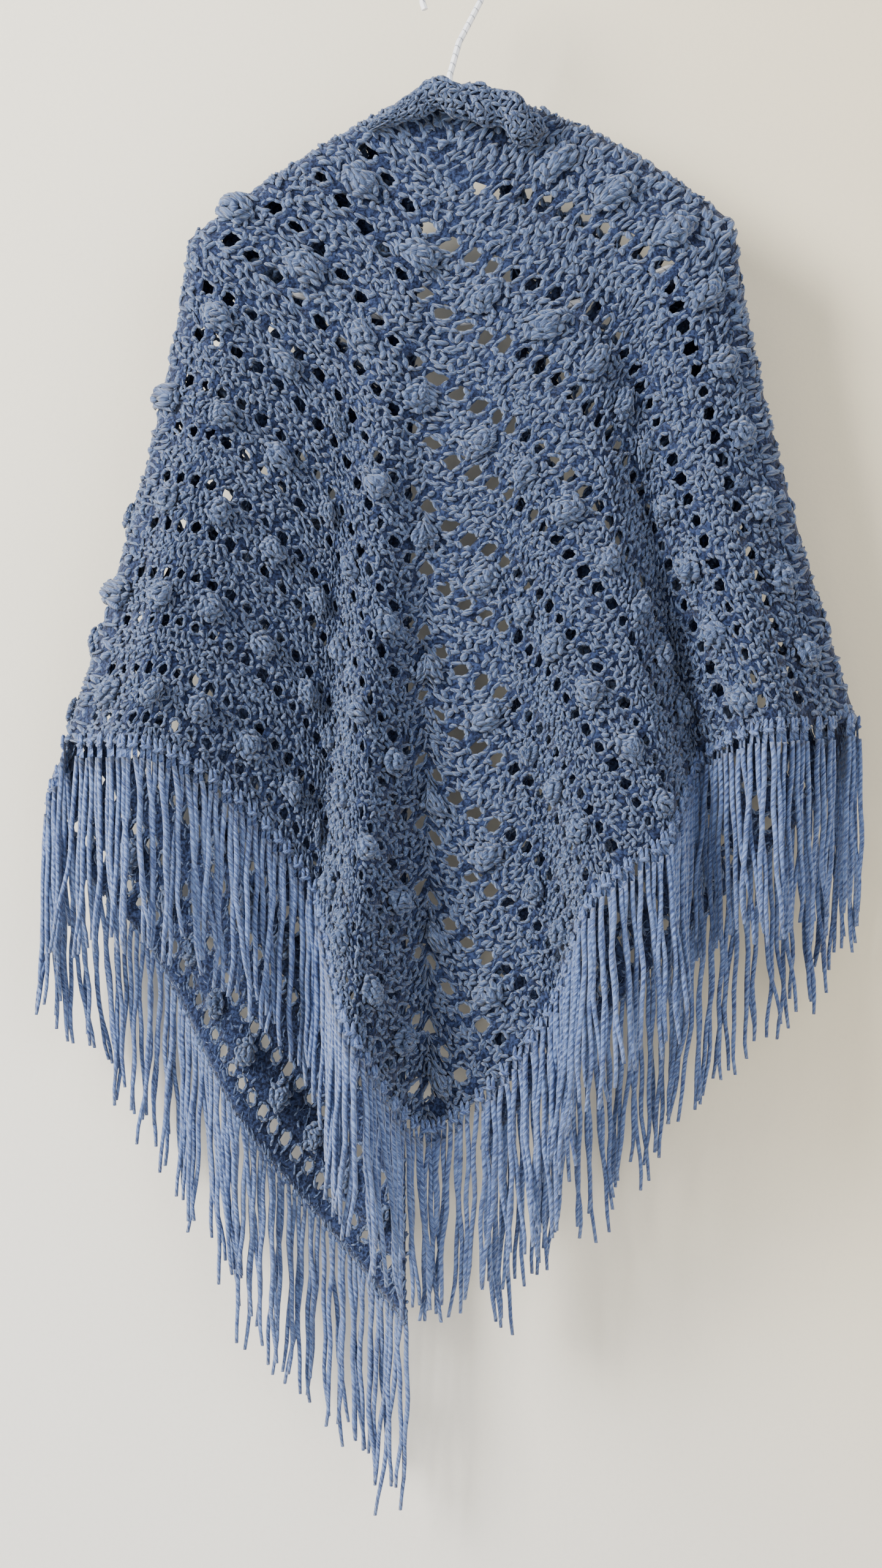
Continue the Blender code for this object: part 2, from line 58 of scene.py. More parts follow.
# The repeat of the stitch pattern, across the rows (b) and along them (a)
EDGE_ROW = 0.016
EYELET_ROW = 0.014
BOBBLE_BAND = 0.028
PLAIN_BAND = 0.029
REPEAT = 2 * EYELET_ROW + BOBBLE_BAND + PLAIN_BAND
SOLID_ROWS = 4  # rows of stitches in each solid band
FEW_ROWS = 2  # ... and in the edge, or in a row of eyelets that stays shut
EYELET_PITCH = 0.017
EYELET_WIDTH = 0.0090
FOLD_ROOM = 0.0115  # eyelets nearer a fold than this stay shut
NECK_SHUT = 0.085  # ... and so do those nearer the neck
LONG_SIDE_SHUT = 0.012  # ... and those nearer the long side, measured along a leg
BOBBLE_PITCH = 3 * EYELET_PITCH
COLLAR_REACH = 0.095  # no bobbles under the collar, this far out along both legs together

# One stroke of yarn, and how far it strays from where its pattern puts it
YARN = 0.0034
PROFILE = 0.34  # how blunt its ends are
STROKE_SIDES = 4
STROKE_RINGS = 4
STRAY_PLACE = 0.0006
STRAY_ANGLE = 0.24
STRAY_SIZE = 0.09  # share of its length and width
STRAY_HEIGHT = 0.00035
SMALL_GAPS = 0.08  # share of the strokes that aren't there

# One stitch: the two leaning strands of its post, and the loop of yarn on top
STITCH_PITCH = 0.0085
STITCH_LOOSE = 1.7  # how much more it strays than a plain stroke
ROW_LEAN = 0.30  # one way in one row and the other way in the next
POST_LEAN = 0.42
POST_APART = 0.0022
POST_REACH = 1.16  # share of the row's height
POST_HEIGHTS = (0.0009, -0.0001)
POST_ARCH = 0.0009
LOOP_PLACE = 0.46  # share of the row's height over its middle
LOOP_REACH = 0.90  # share of the pitch
LOOP_HEIGHT = 0.0014
STITCH_TRIM = 0.0035  # stitches end this far inside the long side, measured along a leg

# The ring of strokes round an eyelet, and the strokes that fill one that stays shut
EYELET_RING = (0.0070, 0.0066)  # across and along the rows
RING_SIZES = (0.76, 1.03)  # the smallest and the largest, as shares of that
RING_STROKES = 8
RING_STROKE = 0.0076
RING_HEIGHT = 0.0004
RING_LOOSE = 0.8
SHUT_STROKE = 0.0086
SHUT_LEAN = 0.35
SHUT_ROW = 0.0045
SHUT_APART = 0.003
SHUT_LOOSE = 1.3

# The chains worked along the edges
CHAIN_START = 0.004
CHAIN_STROKE = 0.0100
CHAIN_LEAN = 0.35
LEG_CHAIN_PITCH = 0.0075
LEG_CHAIN_INSET = 0.0024
LEG_CHAIN_HEIGHT = 0.0006
LONG_CHAIN_PITCH = 0.0052
LONG_CHAIN_INSETS = (0.0028, 0.0070)
LONG_CHAIN_HEIGHT = 0.0004

# One bobble: three thick bundles under rings of short strokes
BOBBLE_WIDTH = 0.021
BOBBLE_LENGTH = 0.024
BOBBLE_HEIGHT = 0.0098
BOBBLE_HIDES = 0.40  # stitches this near its middle are left out, as a share of its size
BOBBLE_FOLD_ROOM = 0.7  # nearer a fold than this share of its size, it has no inner side
BUNDLES = ((-1, 0.34, 0.84), (0, 0.50, 0.95), (1, 0.34, 0.84))  # place, height and length
BUNDLE_WIDTH = 0.42  # share of the bobble's width, and so is the next
BUNDLE_APART = 0.25
BUNDLE_LOOSE = 0.4
BOBBLE_RINGS = ((0.0, 2), (0.45, 6), (0.86, 9))  # how far out each ring lies, and its strokes
BOBBLE_DOME = 1.02  # how full the dome of the rings is
BOBBLE_SINK = 0.0004
BOBBLE_YARN = 0.0046
BOBBLE_STROKE = 0.0092
BOBBLE_LEANS = (-0.35, 0.55)
BOBBLE_ARCH = 0.0011

# The inner layer that the stitches are worked on, painted dark as the shade deep between them
GROUND = 0.0010
FOLD_LINES = np.array([-10.2, -7.6, -5.1, -2.5, 0.0, 2.5, 5.1, 7.6, 10.2]) / 1000
LINE_ROOM = 0.0022  # other lines stay this far from those at a fold
LAST_LINE_ROOM = 0.002
LEG_TRIM = 0.0015
LONG_SIDE_TRIM = 0.003  # measured along a leg
NOTCH_TRIM = 0.9  # share of the notch that is open in this layer

# The hanger, where it carries the cloth
APEX = (-0.0014, -0.0865)
LEFT_END = (-0.1905, -0.2050)
RIGHT_END = (0.2060, -0.1935)
LEFT_BULGE = 0.007  # how far each arm bows up over a straight line
RIGHT_BULGE = 0.013
ARM_CURVE = 1.2

# How the cloth passes over the wire and hangs
ARM = 0.230  # cloth that lies on one arm
WRAP = 0.0065  # radius of the cloth's middle round the wire
WRAP_FADE = 1.6  # how many of those radii past the wire the cloth faces its own way again
SIDE_FLARE = 1.35  # how late the fold below each arm's end swings out
ARM_ANGLES = (math.radians(58.2), math.radians(63.4))  # left and right, from straight down
START_PULL = 1.0  # how far the cloth keeps the direction it has at the neck ...
END_PULL = 0.95  # ... and the one that it has at the hem
FLARE = 0.9  # how much the cloth leans out at the hem, for each metre from the middle
FOLD_HOLD = 1.3  # how fast the arm's own shape fades away from the fold
FRONT_GROWTH = 1.6
WING_GROWTH = 1.1
TANGENT_STEP = 0.012  # steps that the fold's and the cloth's directions are measured over
CLOTH_STEP = 0.0005
TINY = 1e-6
PAST_HEM = 0.02  # share of the hem that stays smooth past each end
STRETCH = 1.5  # the cloth is pulled this much wider over the arms
NECK_REACH = 0.050  # ... and over the neck, this far out from it
VIEW_DISTANCE = 1.5  # the fold tables are true seen from this far off, level with VIEW_CENTRE
VIEW_CENTRE = (-0.008, -0.611)


def table(names, *rows):
    """A short table: the names of its columns, then a row for each fold."""
    return {name: np.array(column) for name, column in zip(names.split(), zip(*rows))}


# Each row is one fold line: its share of the hem, and where it meets the hem, seen in the hanger's
# plane. Depth is how far it stands out from that plane.
FRONT_FOLDS = table(
    "hem across depth height",
    (-1.00, -0.283, 0.000, -0.581),  # left fold
    (-0.86, -0.241, 0.072, -0.581),  # first ridge
    (-0.46, -0.103, 0.014, -0.693),  # valley
    (-0.21, -0.075, 0.086, -0.799),  # second ridge
    (0.00, -0.018, 0.022, -0.870),  # lower point
    (0.24, 0.077, 0.042, -0.776),
    (0.42, 0.108, 0.090, -0.694),  # third ridge
    (0.56, 0.160, 0.076, -0.652),
    (0.71, 0.184, 0.012, -0.597),  # deep valley
    (0.86, 0.238, 0.062, -0.570),  # fourth ridge
    (1.00, 0.298, 0.000, -0.567),  # right fold
)
LEFT_FOLDS = table(
    "hem across depth height",
    (0.00, -0.033, 0.012, -1.020),  # left tip
    (0.18, -0.092, 0.036, -0.947),
    (0.40, -0.163, 0.012, -0.858),
    (0.63, -0.219, 0.040, -0.746),
    (0.90, -0.301, 0.018, -0.628),
    (1.00, -0.283, 0.000, -0.581),  # left fold
)
RIGHT_FOLDS = table(
    "hem across depth height",
    (0.00, 0.022, 0.012, -0.887),  # right tip
    (0.31, 0.116, 0.040, -0.786),
    (0.59, 0.203, 0.014, -0.697),
    (0.84, 0.283, 0.038, -0.612),
    (1.00, 0.298, 0.000, -0.567),  # right fold
)
FOLDS = {"front": FRONT_FOLDS, "left": LEFT_FOLDS, "right": RIGHT_FOLDS}
INNER_BOW = {"left": -0.022, "right": 0.045}  # the wings' inner edges part below the neck

# The rolled collar: its middle line and its radius
COLLAR = table(
    "along across height radius",
    (0.00, -0.062, -0.124, 0.0034),
    (0.20, -0.036, -0.111, 0.0080),
    (0.42, -0.007, -0.102, 0.0128),
    (0.66, 0.028, -0.110, 0.0145),
    (0.90, 0.057, -0.125, 0.0140),
    (1.00, 0.066, -0.131, 0.0080),
)
ROLL_LENGTH = 0.158
ROLL_ROUND = 0.084  # the way round it, which its rows of stitches share
ROLL_CLEAR = 0.0012  # in front of the wall of the cloth
HALF_WALL = 0.002
ROLL_SINK = 0.0026  # taken off its radius for the strokes on it
ROLL_LUMPS = (0.14, 0.12)  # shares of its radius
ROLL_LUMP_TURNS = (17, 33)
ROLL_STEP = 0.01  # share of its length that its direction is measured over, each way
ROLL_SIDES = 20
ROLL_RINGS = 30
ROLL_ROW = 0.0068
ROLL_START = 0.004
ROLL_POST = 0.0095
ROLL_POST_LEAN = 0.35
ROLL_POST_APART = 0.002
ROLL_LOOP = 0.0092
ROLL_LOOP_LEAN = 0.7  # share of the row's lean
ROLL_LOOP_PLACE = 0.0032
ROLL_LOOP_HEIGHT = 0.0010
ROLL_CORE = -0.0014  # height of the inner layer

# The fringe
FRINGES = {
    "fringe_back_left": ("front", "a"),
    "fringe_back_right": ("front", "b"),
    "fringe_wing_left": ("left", "a"),
    "fringe_wing_right": ("right", "b"),
}
FRINGE_REACH = {
    "front": {"a": (0.0, NECK_A), "b": (0.0, NECK_B)},
    "left": {"a": (NECK_A, LEG)},
    "right": {"b": (NECK_B, LEG)},
}
KNOT_PITCH = 0.0145
FIRST_KNOT = 0.004
LAST_KNOT = 0.003
STRAY_KNOT = 0.0011
STRAND_WIDTH = 0.0040
STRAND_LENGTH = 0.146
STRAND_SIDES = 5
STRAND_RINGS = 11
STRAND_STANDOFF = 0.0026
STRAND_RISE = 0.004  # a strand starts this far above the hem
TIP_TAPER = 0.30
SLUB = 0.05  # share by which the width of a strand wavers
SLUB_TURNS = 26
UNEVEN = 0.05  # share by which the strands differ in length
MOST_UNEVEN = 0.09
STRAY_LEAN = 0.0055  # sideways, at the tip
SHARED_LEAN = 0.006  # the lean that neighbours have in common
SHARED_TURNS = 31
SHARED_START = 4.0
LEAN_CURVE = 1.7
SIDE_WAVES = (0.0022, 0.0007)
SIDE_TURNS = (6, 17)
DEPTH_LEAN = 0.006
DEPTH_CURVE = 1.5
DEPTH_WAVE = 0.0018
DEPTH_TURNS = 9
PAIR_APART = (0.0018, 0.0022)  # half the room between a pair, at the knot and added below it
PAIR_SPREAD = 2.2
HEM_DOWN = 0.001  # where the hem's direction is measured
HEM_OUT = 0.004

# Each stroke of a hitch: how far aside it lies, its angle, half its length, how far it stands
# out and how far it sits above the hem
HITCH = (
    (-0.0018, math.pi / 2, 0.0062, 0.0022, 0.0030),
    (0.0018, math.pi / 2, 0.0062, 0.0022, 0.0030),
    (0.0, 0.0, 0.0044, 0.0030, 0.0002),
)
HITCH_SIDES = 5
STRAY_HITCH = 0.12

# Making
PIECE_TRIANGLES = 190000
UV_METRE = 0.01  # one step of the yarn's own coordinates
UV_SHIFTS = 400
PLY_TURNS = 1.9  # turns of the plies in each of those steps

# Colours of the yarn: its lightest fibres, most of them, and the deep, dark ones, which also serve as
# painted shade in the grooves between the plies
YARN_SHADES = ((158, 180, 216), (90, 111, 151), (30, 43, 78))
FRINGE_SHADES = ((172, 196, 240), (104, 129, 180), (40, 56, 104))

# Stage
WALL_DEPTH = 0.075
STAGE_SIZE = 6.0
FLOOR_HEIGHT = -1.42
LOOK_AT = (0.0, 0.0, -0.6)
SKY_COLOUR = (0.86, 0.90, 1.0, 1.0)
SKY_STRENGTH = 0.64
LIGHTS = {  # place, size, power and colour
    "window": ((-2.2, -1.7, 0.6), (1.0, 1.4), 215.0, (1.0, 0.98, 0.945)),
    "room fill": ((1.8, -2.2, 0.2), (2.2, 2.2), 42.0, (1.0, 0.98, 0.96)),
    "far fill": ((1.2, 2.2, 0.3), (1.6, 1.6), 30.0, (0.96, 0.98, 1.0)),
}
CAMERA_LENS = 45.84
CAMERA_SENSOR = 36.0


def read(columns, name, along, at):
    """A column of a table at any place along another, on a smooth curve that never overshoots."""
    x = columns[along]
    y = columns[name]
    rise = np.diff(y) / np.diff(x)
    both = rise[1:] * rise[:-1]
    total = np.where(both > 0, rise[1:] + rise[:-1], 1.0)
    slope = np.concatenate([rise[:1], np.where(both > 0, 2 * both / total, 0.0), rise[-1:]])
    i = np.clip(np.searchsorted(x, at) - 1, 0, len(x) - 2)
    step = x[i + 1] - x[i]
    t = (at - x[i]) / step
    start = y[i] * (1 + 2 * t) * (1 - t) ** 2 + slope[i] * step * t * (1 - t) ** 2
    return start + y[i + 1] * t * t * (3 - 2 * t) + slope[i + 1] * step * t * t * (t - 1)


def smooth(value):
    """From 0 to 1 with no corner at either end."""
    t = np.clip(value, 0.0, 1.0)
    return t * t * (3 - 2 * t)


def arm_point(share):
    """Where the arm carries the cloth, in the hanger's plane; the share is negative on the left."""
    size = np.abs(share)
    left = share < 0
    end_x = np.where(left, LEFT_END[0], RIGHT_END[0])
    end_z = np.where(left, LEFT_END[1], RIGHT_END[1])
    bulge = np.where(left, LEFT_BULGE, RIGHT_BULGE) * np.sin(np.pi * np.minimum(size, 1) ** ARM_CURVE)
    return APEX[0] + (end_x - APEX[0]) * size, APEX[1] + (end_z - APEX[1]) * size + bulge


def fold_path(left, along):
    """The fold over an arm and then down the side, at a distance from the neck along the cloth."""
    reach = np.where(left, NECK_B, NECK_A)
    x, z = arm_point(np.where(left, -1.0, 1.0) * np.clip(along / ARM, TINY, 1.0))
    down = np.clip((along - ARM) / (reach - ARM), 0.0, 1.0)
    end_x = np.where(left, FRONT_FOLDS["across"][0], FRONT_FOLDS["across"][-1])
    end_z = np.where(left, FRONT_FOLDS["height"][0], FRONT_FOLDS["height"][-1])
    return x + (end_x - x) * down**SIDE_FLARE, z + (end_z - z) * down


def ray(angle, length, end_x, end_z, share):
    """A line of the cloth that leaves the neck at an angle and bends down to its place on the hem."""
    start = share * (1 - share) ** 2 * START_PULL * length
    stop = share**2 * (share - 1) * END_PULL * length
    middle = share**2 * (3 - 2 * share)
    x = APEX[0] + start * np.sin(angle) + middle * (end_x - APEX[0]) + stop * FLARE * end_x
    z = APEX[1] - start * np.cos(angle) + middle * (end_z - APEX[1]) - stop
    return x, z


def hang(panel, a, b):
    """The middle of the draped cloth at the cloth coordinates a and b.

    It also returns the way that the cloth faces round the wire, and how far that way still holds.
    """
    in_a = NECK_A - a
    in_b = NECK_B - b
    if panel == "front":
        down = np.maximum(np.maximum(in_a / NECK_A, in_b / NECK_B), TINY)
        on_left_leg = in_b / NECK_B >= in_a / NECK_A
        hem = np.where(on_left_leg, in_a / down / NECK_A - 1, 1 - in_b / down / NECK_B)
        left = in_a < in_b
        seam = np.minimum(in_a, in_b)
        side = -1.0
        nearness_to_fold = np.abs(np.arctan2(in_a - in_b, in_a + in_b)) / (math.pi / 4)
    elif panel == "left":
        down = np.maximum(in_b / NECK_B, TINY)
        hem = 1 + in_a / down / NECK_B
        left = np.ones(a.shape, bool)
        seam = -in_a
        side = 1.0
        nearness_to_fold = 2 - np.arctan2(in_b - in_a, in_a + in_b) / (math.pi / 4)
    else:
        down = np.maximum(in_a / NECK_A, TINY)
        hem = 1 + in_b / down / NECK_A
        left = np.zeros(a.shape, bool)
        seam = -in_b
        side = 1.0
        nearness_to_fold = 2 - np.arctan2(in_a - in_b, in_a + in_b) / (math.pi / 4)
    hem = np.clip(hem, FOLDS[panel]["hem"][0] - PAST_HEM, 1 + PAST_HEM)
    share = np.minimum(down, 1.0)
    out = np.where(left, -1.0, 1.0)
    along = np.hypot(in_a, in_b)
    arm_angle = out * np.where(left, *ARM_ANGLES)
    end_x = read(FOLDS[panel], "across", "hem", hem)
    end_z = read(FOLDS[panel], "height", "hem", hem)
    x, z = ray(arm_angle * nearness_to_fold, along / down, end_x, end_z, down)
    reach = np.where(left, NECK_B, NECK_A)
    at_fold = np.clip(along / reach, 0.0, 1.0)
    fold_x, fold_z = fold_path(left, along)
    free_x, free_z = ray(arm_angle, reach, *fold_path(left, reach), at_fold)
    hold = np.maximum(nearness_to_fold, 0.0) ** FOLD_HOLD
    x = x + (fold_x - free_x) * hold
    z = z + (fold_z - free_z) * hold
    if panel != "front":
        x = x + INNER_BOW[panel] * (1 - nearness_to_fold) ** 2 * np.sin(math.pi * np.sqrt(share))
    growth = FRONT_GROWTH if panel == "front" else WING_GROWTH
    round_wire = np.clip(seam / WRAP, -math.pi / 2, math.pi / 2)
    y = side * (read(FOLDS[panel], "depth", "hem", hem) * down**growth + WRAP * np.sin(round_wire))
    nearness = 1 + y / VIEW_DISTANCE
    x = VIEW_CENTRE[0] + (x - VIEW_CENTRE[0]) * nearness
    z = VIEW_CENTRE[1] + (z - VIEW_CENTRE[1]) * nearness
    beside = np.clip(along, TANGENT_STEP, reach - TANGENT_STEP)
    before = fold_path(left, beside - TANGENT_STEP)
    after = fold_path(left, beside + TANGENT_STEP)
    run_x, run_z = after[0] - before[0], after[1] - before[1]
    length = np.hypot(run_x, run_z)
    at_neck = np.clip(1 - along / NECK_REACH, 0.0, 1.0)
    over_arm = (1 - share) ** 2 * smooth(nearness_to_fold + at_neck)
    wrapped = STRETCH * WRAP * np.maximum(round_wire, 0) * over_arm
    lift = WRAP * np.cos(round_wire) + wrapped
    x = x - out * lift * run_z / length
    z = z + out * lift * run_x / length
    up = np.cos(round_wire) * out / length
    facing = np.stack([-up * run_z, side * np.sin(round_wire), up * run_x], axis=-1)
    return np.stack([x, y, z], axis=-1), facing, smooth(1.5 - seam / WRAP / WRAP_FADE)


def drape(panel, a, b, w):
    """Points of the wall at the height w over its middle, positive on the garment's outside."""
    middle, facing, at_wire = hang(panel, a, b)
    along_a = hang(panel, a + CLOTH_STEP, b)[0] - hang(panel, a - CLOTH_STEP, b)[0]
    along_b = hang(panel, a, b + CLOTH_STEP)[0] - hang(panel, a, b - CLOTH_STEP)[0]
    outward = np.cross(along_b, along_a)
    outward /= np.linalg.norm(outward, axis=-1, keepdims=True)
    outward = outward + (facing - outward) * at_wire[..., None]
    outward /= np.linalg.norm(outward, axis=-1, keepdims=True)
    return middle + outward * w[..., None]


def hang_cloth(a, b, w):
    """Points at the height w over any place of the whole cloth, whichever panel it is in."""
    points = np.empty((*a.shape, 3))
    left = a >= NECK_A
    right = (b >= NECK_B) & ~left
    for panel, here in (("left", left), ("right", right), ("front", ~left & ~right)):
        points[here] = drape(panel, a[here], b[here], w[here])
    return points


def template_of(bm):
    """The points of a small shape, its triangles, and where their corners lie round and along x."""
    bmesh.ops.triangulate(bm, faces=bm.faces)
    bm.verts.index_update()
    points = np.array([vert.co[:] for vert in bm.verts])
    faces = np.array([[vert.index for vert in face.verts] for face in bm.faces])
    bm.free()
    turn = np.arctan2(points[:, 1], points[:, 2])[faces] / (2 * math.pi)
    turn = np.where(turn.max(axis=1, keepdims=True) - turn > 0.5, turn + 1, turn)
    return points, faces, np.stack([turn, points[:, 0][faces]], axis=-1)


def stroke_template(sides, rings):
    """A plump stroke of yarn along x from -1 to 1, blunter than a ball."""
    bm = bmesh.new()
    bmesh.ops.create_uvsphere(bm, u_segments=sides, v_segments=rings, radius=1.0)
    bmesh.ops.rotate(bm, verts=bm.verts, matrix=Matrix.Rotation(math.pi / 2, 3, "Y"))
    for vert in bm.verts:
        round_size = math.hypot(vert.co.y, vert.co.z)
        if round_size > TINY:
            blunt = (1 - vert.co.x**2) ** PROFILE / round_size
            vert.co.y *= blunt
            vert.co.z *= blunt
    return template_of(bm)


def tube(sides, rings, cap_tris):
    """A closed round bar from -0.5 to 0.5 along z, with rings of points between its ends."""
    bm = bmesh.new()
    bmesh.ops.create_cone(
        bm, cap_ends=True, cap_tris=cap_tris, segments=sides, radius1=1.0, radius2=1.0, depth=1.0
    )
    long_edges = [edge for edge in bm.edges if abs(edge.verts[0].co.z - edge.verts[1].co.z) > 0.5]
    bmesh.ops.subdivide_edges(bm, edges=long_edges, cuts=rings)
    return bm


def strand_template(sides, rings):
    """A round strand along x from 0 to 1, closed at both ends."""
    bm = tube(sides, rings, True)
    bmesh.ops.rotate(bm, verts=bm.verts, matrix=Matrix.Rotation(math.pi / 2, 3, "Y"))
    bmesh.ops.translate(bm, verts=bm.verts, vec=(0.5, 0.0, 0.0))
    return template_of(bm)


def joined(name, template, points, lengths, finish, slot):
    """One piece made of many copies of a template, whose points are given copy by copy."""
    _, faces, place = template
    copies, size = points.shape[:2]
    every_face = faces[None] + size * np.arange(copies)[:, None, None]
    mesh = bpy.data.meshes.new(name)
    mesh.from_pydata(points.reshape(-1, 3).tolist(), [], every_face.reshape(-1, 3).tolist())
    uv = np.tile(place[None], (copies, 1, 1, 1))
    uv[..., 1] *= lengths[:, None, None] / UV_METRE
    uv += np.floor(CHANCE.uniform(0, UV_SHIFTS, (copies, 1, 1, 2)))
    mesh.uv_layers.new(name="yarn").uv.foreach_set("vector", uv.ravel())
    mesh.shade_smooth()
    return show(name, mesh, finish)


def show(name, mesh, finish):
    """Links a finished mesh as a piece of the shawl."""
    piece = bpy.data.objects.new(name, mesh)
    mesh.materials.append(finish)
    bpy.context.scene.collection.objects.link(piece)
    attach(piece, "root")
    return piece


def show_shape(name, bm, finish):
    """Turns a finished shape into a smooth piece of yarn."""
    mesh = bpy.data.meshes.new(name)
    bm.to_mesh(mesh)
    bm.free()
    mesh.shade_smooth()
    return show(name, mesh, finish)


class Strokes:
    """Strokes of yarn laid on the flat cloth: their middles, directions and sizes."""

    def __init__(self):
        self.rows = []

    def add(self, b, a, angle, length, width=YARN, w=0.0, arch=0.0, loose=1.0):
        """Lays one stroke for each place, every one a little off where its pattern puts it."""
        b, a, angle, length, width, w, arch = np.broadcast_arrays(b, a, angle, length, width, w, arch)
        off = CHANCE.normal(0.0, loose, (6, *b.shape))
        row = (
            b + off[0] * STRAY_PLACE,
            a + off[1] * STRAY_PLACE,
            angle + off[2] * STRAY_ANGLE,
            length * (1 + STRAY_SIZE * off[3]),
            width * (1 + STRAY_SIZE * off[4]),
            w + off[5] * STRAY_HEIGHT,
            off[3] * STRAY_PLACE,
            arch,
        )
        self.rows.append(np.stack([column.ravel() for column in row], axis=-1))

    def laid(self, template, keep, missing=0.0):
        """The points of every kept stroke on the flat cloth, and the lengths of the strokes.

        A missing share of them is left out here and there, which leaves small uneven gaps.
        """
        rows = np.concatenate(self.rows)
        rows = rows[keep(rows[:, 1], rows[:, 0])]
        rows = rows[CHANCE.uniform(0, 1, len(rows)) > missing]
        b, a, angle, length, width, w, bend, arch = rows.T[:, :, None]
        along, across, up = template[0].T
        swell = 1 - along**2
        x = along * length / 2
        y = across * width / 2 + bend * swell
        z = w + up * width / 2 + arch * swell
        flat_b = b + x * np.cos(angle) - y * np.sin(angle)
        flat_a = a + x * np.sin(angle) + y * np.cos(angle)
        return flat_b, flat_a, z, rows[:, 3] / 2


def bands():
    """Each band of the pattern across the rows: its kind, where it starts and how wide it is."""
    yield "edge", 0.0, EDGE_ROW
    start = EDGE_ROW
    while start < LEG:
        for kind, width in (
            ("eyelets", EYELET_ROW),
            ("bobbles", BOBBLE_BAND),
            ("eyelets", EYELET_ROW),
            ("plain", PLAIN_BAND),
        ):
            yield kind, start, width
            start += width


def bobble_middles(start, width):
    """Where the bobbles of a band sit, staggered from band to band."""
    turn = round((start - EDGE_ROW) / REPEAT)
    first = EDGE_ROW + EYELET_PITCH / 2 + (turn % 2) * BOBBLE_PITCH / 2
    a = np.arange(first, LEG, BOBBLE_PITCH)
    return np.full(a.shape, start + width / 2), a


def all_bobbles():
    """The middles of all bobbles on the flat cloth."""
    found = [bobble_middles(start, width) for kind, start, width in bands() if kind == "bobbles"]
    b = np.concatenate([one[0] for one in found])
    a = np.concatenate([one[1] for one in found])
    clear = (a + b < LEG - BOBBLE_LENGTH / 2) & (a > BOBBLE_WIDTH / 2)
    under_collar = (NECK_A - a + NECK_B - b < COLLAR_REACH) & (a < NECK_A) & (b < NECK_B)
    clear &= ~under_collar
    return b[clear], a[clear]


def lay_stitches(strokes, start, width, rows):
    """Rows of stitches: the two strands of a post each, and the loop of yarn on top."""
    tall = width / rows
    for row in range(rows):
        a = np.arange(STITCH_PITCH * (0.25 + 0.5 * (row % 2)), LEG, STITCH_PITCH)
        b = start + tall * (row + 0.5)
        lean = ROW_LEAN if row % 2 else -ROW_LEAN
        post = {"length": tall * POST_REACH, "arch": POST_ARCH, "loose": STITCH_LOOSE}
        for side, height in zip((-1, 1), POST_HEIGHTS):
            strokes.add(b, a + side * POST_APART, lean - side * POST_LEAN, w=height, **post)
        top = b + tall * LOOP_PLACE
        reach = STITCH_PITCH * LOOP_REACH
        strokes.add(top, a, math.pi / 2 + lean, reach, w=LOOP_HEIGHT, loose=STITCH_LOOSE)


def lay_eyelets(strokes, start):
    """A row of eyelets, each ringed by short strokes that round its corners."""
    middle = np.arange(EDGE_ROW + EYELET_WIDTH / 2, LEG, EYELET_PITCH)
    b = start + EYELET_ROW / 2
    size = CHANCE.uniform(*RING_SIZES, middle.shape)
    for turn in range(RING_STROKES):
        angle = (turn + 0.5) * 2 * math.pi / RING_STROKES
        up, out = math.cos(angle), math.sin(angle)
        along = math.atan2(EYELET_RING[1] * up, -EYELET_RING[0] * out)
        ring_b = b + EYELET_RING[0] * up * size
        ring_a = middle + EYELET_RING[1] * out * size
        height = RING_HEIGHT if turn % 2 else -RING_HEIGHT
        strokes.add(ring_b, ring_a, along, RING_STROKE, w=height, loose=RING_LOOSE)
    shut = middle[np.abs(middle - NECK_A) < FOLD_ROOM + EYELET_WIDTH / 2]
    for row, lean in ((-1, -SHUT_LEAN), (0, SHUT_LEAN), (1, -SHUT_LEAN)):
        at = b + row * SHUT_ROW
        strokes.add(at, shut, lean, SHUT_STROKE, loose=SHUT_LOOSE)
        strokes.add(at, shut + SHUT_APART, -SHUT_LEAN, SHUT_STROKE, loose=SHUT_LOOSE)


def lay_edges(strokes):
    """The worked edges: a chain along both legs and two more along the long side."""
    turn = np.arange(CHAIN_START, LEG, LEG_CHAIN_PITCH)
    upright = math.pi / 2 + CHAIN_LEAN
    strokes.add(LEG_CHAIN_INSET, turn, upright, CHAIN_STROKE, w=LEG_CHAIN_HEIGHT)
    strokes.add(turn, LEG_CHAIN_INSET, -CHAIN_LEAN, CHAIN_STROKE, w=LEG_CHAIN_HEIGHT)
    turn = np.arange(CHAIN_START, LEG, LONG_CHAIN_PITCH)
    for inset, lean in zip(LONG_CHAIN_INSETS, (CHAIN_LEAN, -CHAIN_LEAN)):
        b = turn - inset * math.sqrt(0.5)
        a = LEG - turn - inset * math.sqrt(0.5)
        strokes.add(b, a, -math.pi / 4 + lean, CHAIN_STROKE, w=LONG_CHAIN_HEIGHT)


def near_bobble(a, b, bobbles):
    """Whether a place is hidden under a bobble."""
    hidden = np.zeros(a.shape, bool)
    for bobble_b, bobble_a in zip(*bobbles):
        away = np.hypot((a - bobble_a) / BOBBLE_WIDTH, (b - bobble_b) / BOBBLE_LENGTH)
        hidden |= away < BOBBLE_HIDES
    return hidden


